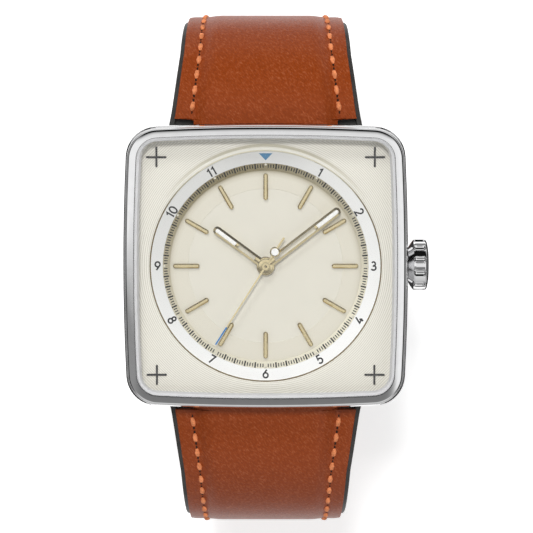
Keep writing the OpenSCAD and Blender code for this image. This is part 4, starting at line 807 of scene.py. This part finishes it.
class Half:
    """One half of the strap. side is 1 towards 12 o'clock and -1 towards 6 o'clock."""

    def __init__(self, tag, side, path, length, end, seam_end, pointed):
        self.tag, self.side, self.path, self.length = tag, side, path, length
        self.end, self.seam_end, self.pointed = end, seam_end, pointed

    def width(self, s):
        from_end = s - self.length + POINT_L
        if self.pointed and from_end > 0:
            return strap_w(s) * math.sqrt(max(1 - 0.88 * (from_end / POINT_L) ** 2, 0.05))
        return strap_w(s)

    def layer(self, stops, section):
        """Points and faces of a layer: section(s, width) gives (across, up) pairs at each stop."""
        rings = []
        for s in stops:
            y, z, h = walk(self.path, s)
            ring = []
            for x, u in section(s, self.width(s)):
                if s == CASE_S:
                    # The end at the case follows the bow of the case's flank
                    y = BAR_Y + CASE_S - 0.3 * min(1.0, abs(x) / 13) ** 2
                ring.append(placed((y, z, h), self.side, x, u))
            rings.append(ring)
        return loft(rings)

    def cut_holes(self, ob):
        """Seven round holes straight through the strap."""
        for k in range(-3, 4):
            y, z, h = walk(self.path, length_of(LONG) - PUNCH_FROM_FLAT + PUNCH_PITCH * k)
            bpy.ops.mesh.primitive_cylinder_add(vertices=32, radius=PUNCH_R * MM, depth=12 * MM)
            tool = bpy.context.object
            tool.location = (0, self.side * (y - 1.2 * math.sin(h)) * MM, (z + 1.2 * math.cos(h)) * MM)
            tool.rotation_euler = (self.side * h, 0, 0)
            mod = ob.modifiers.new("hole", "BOOLEAN")
            mod.operation, mod.object, mod.solver = "DIFFERENCE", tool, "EXACT"
            dg = bpy.context.evaluated_depsgraph_get()
            me = bpy.data.meshes.new_from_object(ob.evaluated_get(dg))
            ob.modifiers.clear()
            ob.data = me
            bpy.data.objects.remove(tool)
        ob.data.shade_smooth()
        ob.data.set_sharp_from_angle(angle=math.radians(50))

    def make(self):
        stops = [CASE_S] + steps(CASE_S + 0.3, CASE_S + 0.8, 0.1) + steps(CASE_S + 1.2, self.end, 0.45)
        top = add_mesh(f"strap_{self.tag}_upper", *self.layer(stops, leather_section), leather, sharp=50)
        low = add_mesh(f"strap_{self.tag}_under", *self.layer(stops, lining_section), lining, sharp=40)
        if self.pointed:
            self.cut_holes(top)
            self.cut_holes(low)
        put(top, "case", "leather_brown", f"strap_{self.tag}_leather")
        put(low, "case", "leather_black", f"strap_{self.tag}_lining")

    def seam(self, s, row):
        """Where a row of stitches lies: across the strap and up."""
        w = self.width(s)
        x = w / 2 - STITCH_IN
        return row * x, leather_height(x, w, s)

    def stitch(self, b, s0, row):
        """One twisted bead of thread along the strap, sunk at both ends, and two dark discs at its ends as painted
        shade in its needle holes.
        """
        length, r, n, m = 1.04, 0.31, 12, 10
        rings = []
        for i in range(n + 1):
            t = i / n
            s = s0 + (t - 0.5) * length
            x, u = self.seam(s, row)
            thick = r * math.sqrt(max(1 - abs(2 * t - 1) ** 3.0, 0.03))
            u += 0.12 - 0.2 * (2 * t - 1) ** 2
            at = walk(self.path, s)
            ring = []
            for a in (2 * math.pi * j / m for j in range(m)):
                q = thick * (1 + 0.1 * math.cos(2 * a - t * 14))
                ring.append(placed(at, self.side, x + q * math.cos(a), u + q * 0.8 * math.sin(a)))
            rings.append(ring)
        b.add(*loft(rings))
        # Near black discs at both ends: painted shade in the needle holes
        for end in (-0.62, 0.62):
            s = s0 + end * length
            x, u = self.seam(s, row)
            at = walk(self.path, s)
            b.add(*loft([[placed(at, self.side, x + dx, u + up, q) for dx, q in bow(0, 0, 0.15, 0.2, 0, 360, 8)[:-1]]
                         for up in (-0.05, 0.03)]), 1)

    def sew(self):
        """A row of stitches along each edge, up to the buckle or the point."""
        b = Builder()
        s = CASE_S + 1.95
        while s < self.seam_end:
            for row in (-1, 1):
                self.stitch(b, s, row)
            s += STITCH_PITCH
        put(b.make(f"strap_{self.tag}_stitches", [thread, hole], sharp=60), "case", None)


def make_keeper(name, body, node):
    """A leather band round both layers, with rounded corners and edges."""
    lo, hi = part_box(node)
    x1, ya, yb, z0, z1 = hi.x / MM, lo.y / MM, hi.y / MM, lo.z / MM, hi.z / MM
    rings = []
    for inset, y in ((1.0, ya), (0.25, ya), (0.06, ya + 0.08), (0.0, ya + 0.28), (0.0, yb - 0.28),
                     (0.06, yb - 0.08), (0.25, yb), (1.0, yb)):
        r = max(1.3 - inset, 0.3)
        e, low, high = x1 - inset - r, z0 + inset + r, z1 - inset - r
        corners = ((e, high, 0), (-e, high, 90), (-e, low, 180), (e, low, 270))
        rings.append([(x, y, z) for cx, cz, a in corners for x, z in bow(cx, cz, r, r, a, a + 90, 8)])
    put(add_mesh(name, *loft(rings, shut=True), leather, sharp=60), body, "leather_brown", node)


# Both paths, of (length, radius), where radius 0 is straight. The long half ends in a ramp over the short one.
WRIST = [(LEAD, 0), (arc(ARC1, 90), ARC1), (arc(ARC2, ARC2_A), ARC2)]
SHORT = WRIST + [(arc(ARC3, 90 - ARC2_A), ARC3)]
SHORT_FOOT = walk(SHORT, length_of(SHORT))[0]
SHORT_LEN = length_of(SHORT) + SHORT_FOOT - BUCKLE_Y
LONG = WRIST + [(arc(ARC3, 90 - ARC2_A - RAMP_A), ARC3), (RAMP_DROP / math.sin(math.radians(RAMP_A)), 0),
                (arc(ARC3, RAMP_A), ARC3)]
RUN = walk(LONG, length_of(LONG))[0] + SHORT_FOOT
FULL = LONG + [(RUN, 0), (arc(ARC3 + RAMP_DROP, END_A), ARC3 + RAMP_DROP)]
LONG_LEN = length_of(FULL)
LONG_END = LONG_LEN - 0.2

halves = [Half("short", 1, SHORT, SHORT_LEN, SHORT_LEN - 1.2, SHORT_LEN - 4, False),
          Half("long", -1, FULL, LONG_LEN, LONG_END, LONG_END - 4, True)]
for half in halves:
    half.make()
for half in halves:
    half.sew()
make_keeper("keeper_sewn", "case", "fixed_keeper")
make_keeper("keeper_sliding", "free_keeper", "free_keeper")

# The crown

CROWN_R, CROWN_L, CROWN_X, STEM_Z, FLUTES, PER_FLUTE = 3.225, 2.7, 18.1, 4.64, 12, 26
SOCKET_L, SOCKET_R = 1.3, 1.15
CUTTER_R, CUTTER_OUT = 0.5, 0.2


def crown_radius(x, phi):
    """Radius of the crown at a distance from its inner end and an angle from the nearest flute."""
    r, l = CROWN_R, CROWN_L
    prof = [(0, r - 1.1), (0.5, r - 0.35), (0.72, r - 0.06), (0.9, r - 0.01), (1.0, r), (l - 0.55, r),
            (l - 0.44, r - 0.04), (l - 0.36, r - 0.1), (l - 0.28, r - 0.24), (l - 0.22, r - 0.4), (l - 0.14, r - 0.8),
            (l - 0.08, r - 1.2), (l - 0.02, r - 2.2), (l, 0.001)]
    out = prof[-1][1]
    for (xa, ra), (xb, rb) in zip(prof, prof[1:]):
        if xa <= x <= xb:
            out = ra + (rb - ra) * (x - xa) / (xb - xa)
            break
    # Each flute is a round groove that ends like a ball at both ends
    d = max(1.1 - x, x - (l - 0.9), 0.0)
    c = r + CUTTER_OUT
    room = CUTTER_R ** 2 - d * d - (c * math.sin(phi)) ** 2
    if d < CUTTER_R and room > 0:
        out = min(out, c * math.cos(phi) - math.sqrt(room))
    return out


def make_crown():
    n = FLUTES * PER_FLUTE
    xs = [0, 0.25, 0.5, 0.6, 0.64, 0.7, 0.72, 0.8, 0.9, 1.0, 1.1, 1.4, 1.7, 1.8, 1.9, 2.0, 2.1, 2.15, 2.2, 2.26,
          2.3, 2.34, 2.38, 2.42, 2.48, 2.52, 2.56, 2.59, 2.62, 2.65, 2.68, 2.695, 2.7]

    def ring(x, radii):
        turns = (2 * math.pi * i / n for i in range(n))
        return [(CROWN_X + x, r * math.cos(a), STEM_Z + r * math.sin(a)) for a, r in zip(turns, radii)]
    phis = [((i % PER_FLUTE) / PER_FLUTE - 0.5) * 2 * math.pi / FLUTES for i in range(n)]
    rings = [ring(x, [r] * n) for x, r in ((SOCKET_L, 0.001), (SOCKET_L, SOCKET_R), (0, SOCKET_R))]
    rings += [ring(x, [crown_radius(x, phi) for phi in phis]) for x in xs]
    put(add_mesh("crown_head", *loft(rings, caps=False), steel, sharp=32), "crown", "steel_case", "crown")


make_crown()

# The CAD nodes that the scene keeps: the case middle and what stays hidden in the photograph


def perlage(name, base):
    """Overlapping turned spots on brushed steel."""
    n = Surface(name, Metallic=1.0)
    spots = n.cells(900, n.coords(), 0.15)
    n.rough(n.ramp(spots, (0.0, 0.18), (0.8, 0.3)))
    n.bump(n.math("SINE", n.math("MULTIPLY", spots, 40.0)), 0.000003)
    return n.color(n.ramp(spots, (0.0, base), (0.8, scaled(base, 0.82))))


by_slot = {
    "steel_case": steel,
    "crystal": clear_glass("window_glass"),
    "rubber_seal": plastic("seal_rubber", (0.02, 0.02, 0.02, 1), 0.6, 0.2),
    "white_plastic": plastic("holder_plastic", (0.7, 0.7, 0.68, 1), 0.5, 0.05),
    "dial_cream": centre_mat, "chapter_white": white_mat, "gold": gold, "black_lacquer": black, "lume": lume_mat,
    "movement_steel": perlage("turned_steel", (0.62, 0.62, 0.63, 1)),
    "brass_wheel": metal("brass_wheels", (0.72, 0.55, 0.27, 1), 0.22, 0.06),
    "jewel_red": plastic("ruby", (0.5, 0.02, 0.08, 1), 0.05, 0.1, 3000, coat=0.5),
    "blued_steel": metal("blued_screws", (0.05, 0.1, 0.35, 1), 0.15, 0.1),
    "leather_brown": leather, "leather_black": lining,
}
nylon = plastic("pale_nylon", (0.75, 0.75, 0.75, 1), 0.3, 0.03)


def finish_cad_nodes():
    slots = {p["node"]: p["material_slot"] for p in frame["record"]["subparts"]}
    for name, ob in frame["nodes"].items():
        if ob.hide_render:
            continue
        ob.data.materials.clear()
        ob.data.materials.append(nylon if name == "crystal_gasket" else by_slot[slots[name]])
        ob.data.shade_smooth()
        ob.data.set_sharp_from_angle(angle=math.radians(30))


finish_cad_nodes()

# Camera, light and floor

VIEW_D = 350.0
VIEW_X, VIEW_Y = 0.11, 0.014
VIEW_W, FILM_W = 67.363, 36
DIAL_FACE = 8.5
TILT = math.radians(3.4)
FLOOR_HALF, FLOOR_Z = 1200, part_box("fixed_keeper")[0].z / MM

camera = bpy.data.objects.new("camera", bpy.data.cameras.new("camera"))
bpy.context.scene.collection.objects.link(camera)
camera.location = (VIEW_X * MM, (VIEW_Y + VIEW_D * math.sin(TILT)) * MM,
                   (DIAL_FACE + VIEW_D * math.cos(TILT)) * MM)
camera.rotation_euler = (-TILT, 0, 0)
camera.data.sensor_width = FILM_W
camera.data.lens = FILM_W * VIEW_D / VIEW_W
camera.data.clip_start, camera.data.clip_end = 0.01, 5
bpy.context.scene.camera = camera
bpy.context.scene.view_settings.view_transform = "Standard"


def floor_material():
    """Pale floor, white to the camera where no shadow falls. In mirrors it darkens away from the watch."""
    n = Surface("pale_floor", Roughness=0.9, Specular_IOR_Level=0.1, Emission_Color=(1, 1, 1, 1))
    n.color(n.ramp(n.noise(40), (0.3, 0.9), (0.7, 0.93)))
    path = n.add("ShaderNodeLightPath").outputs
    seen = n.math("MAXIMUM", path["Is Camera Ray"], path["Is Glossy Ray"])
    seen = n.math("MAXIMUM", seen, path["Is Transmission Ray"])
    n.link(n.math("MULTIPLY", seen, 0.5), n.bsdf.inputs["Emission Strength"])
    at = n.add("ShaderNodeTexCoord").outputs["Object"]
    away = n.length(at)
    near = n.ramp(away, (0.0, 1), (0.09, 1), (0.12, 0))
    upper = n.ramp(n.math("ABSOLUTE", n.math("DIVIDE", n.split(at)["Y"], away)), (0.5, 0), (0.75, 1))
    far = n.ramp(away, (0.14, 1), (0.17, 0.6))
    dim = n.math("MULTIPLY", n.math("SUBTRACT", 1.0, n.math("MULTIPLY", upper, near)), far)
    dark = n.add("ShaderNodeEmission")
    dark.inputs["Color"].default_value = (0.05, 0.05, 0.05, 1)
    fac = n.math("MULTIPLY", dim, path["Is Glossy Ray"])
    n.link(n.mixed(fac, n.bsdf.outputs[0], dark.outputs[0]), n.out.inputs[0])
    return n.mat


def make_floor():
    s = FLOOR_HALF
    corners = [(-s, -s, FLOOR_Z), (s, -s, FLOOR_Z), (s, s, FLOOR_Z), (-s, s, FLOOR_Z)]
    add_mesh("floor", corners, [(0, 1, 2, 3)], floor_material(), smooth=False)


def area(name, loc, size, power):
    """A square lamp that faces the watch, placed in metres. Mirrors see the sky in its place."""
    light = bpy.data.lights.new(name, "AREA")
    light.energy, light.size = power, size
    ob = bpy.data.objects.new(name, light)
    bpy.context.scene.collection.objects.link(ob)
    ob.location = loc
    ob.rotation_mode = "QUATERNION"
    ob.rotation_quaternion = (-Vector(loc)).to_track_quat("-Z", "Y")
    ob.visible_glossy = ob.visible_transmission = False


# The studio as polished metal sees it: greys by degrees from straight up, for each side
SKY_PLUS_Y = [(0, 0.85), (10, 0.84), (20, 0.6), (29, 0.35), (36, 0.008), (75, 0.008), (81, 0.95), (90, 0.95)]
SKY_MINUS_Y = [(0, 0.85), (6, 0.85), (9, 0.2), (40, 0.22), (52, 0.75), (88, 0.5)]
SKY_PLUS_X = [(0, 0.85), (16, 0.97), (42, 0.95), (50, 0.03), (84, 0.03), (90, 0.4)]
SKY_MINUS_X = [(0, 0.85), (8, 0.97), (54, 0.97), (62, 0.03), (84, 0.03), (90, 0.4)]
DIFFUSE_SKY = 0.38


def make_world():
    world = bpy.data.worlds.new("studio")
    bpy.context.scene.world = world
    world.use_nodes = True
    n = Tree(world.node_tree)
    x, y, z = n.split(n.add("ShaderNodeTexCoord").outputs["Generated"])
    flat = n.math("SQRT", n.math("MULTIPLY_ADD", x, x, n.math("MULTIPLY_ADD", y, y, 1e-6)))
    tilt = n.math("DIVIDE", n.math("ARCCOSINE", z), math.pi / 2)

    def side(along, sign, stops):
        """One side's greys, weighted by how far the direction leans to that side."""
        grey = n.ramp(tilt, *[(deg / 90, g) for deg, g in stops])
        lean_to = n.math("MAXIMUM", n.math("DIVIDE", n.math("MULTIPLY", along, sign), flat), 0.0)
        weight = n.math("POWER", lean_to, 6.0)
        return n.math("MULTIPLY", grey, weight), weight

    def shader(strength, color=(1, 1, 1, 1)):
        background = n.add("ShaderNodeBackground")
        n.feed(background.inputs, (color, strength))
        return background.outputs[0]
    grey, total = side(y, 1.0, SKY_PLUS_Y)
    # The left lamp ends a little below the level of the middle
    left, left_weight = side(x, -1.0, SKY_MINUS_X)
    edge = n.math("MINIMUM", n.math("MAXIMUM", n.math("MULTIPLY_ADD", y, 14.0, 1.5), 0.3), 1.0)
    for g, weight in (side(y, -1.0, SKY_MINUS_Y), side(x, 1.0, SKY_PLUS_X),
                      (n.math("MULTIPLY", left, edge), left_weight)):
        grey, total = n.math("ADD", grey, g), n.math("ADD", total, weight)
    path = n.add("ShaderNodeLightPath").outputs
    mirrored = n.math("MAXIMUM", path["Is Glossy Ray"], path["Is Transmission Ray"])
    rest = n.mixed(mirrored, shader(DIFFUSE_SKY), shader(1.0, n.math("DIVIDE", grey, total)))
    out = n.add("ShaderNodeOutputWorld")
    n.link(n.mixed(path["Is Camera Ray"], rest, shader(1.0)), out.inputs[0])


make_floor()
make_world()
area("key", (-0.06, 0.27, 0.95), 0.14, 4.3)
area("high", (-0.16, 0.72, 0.72), 0.25, 2.2)
area("fill", (0.5, -0.45, 0.6), 0.6, 1.0)
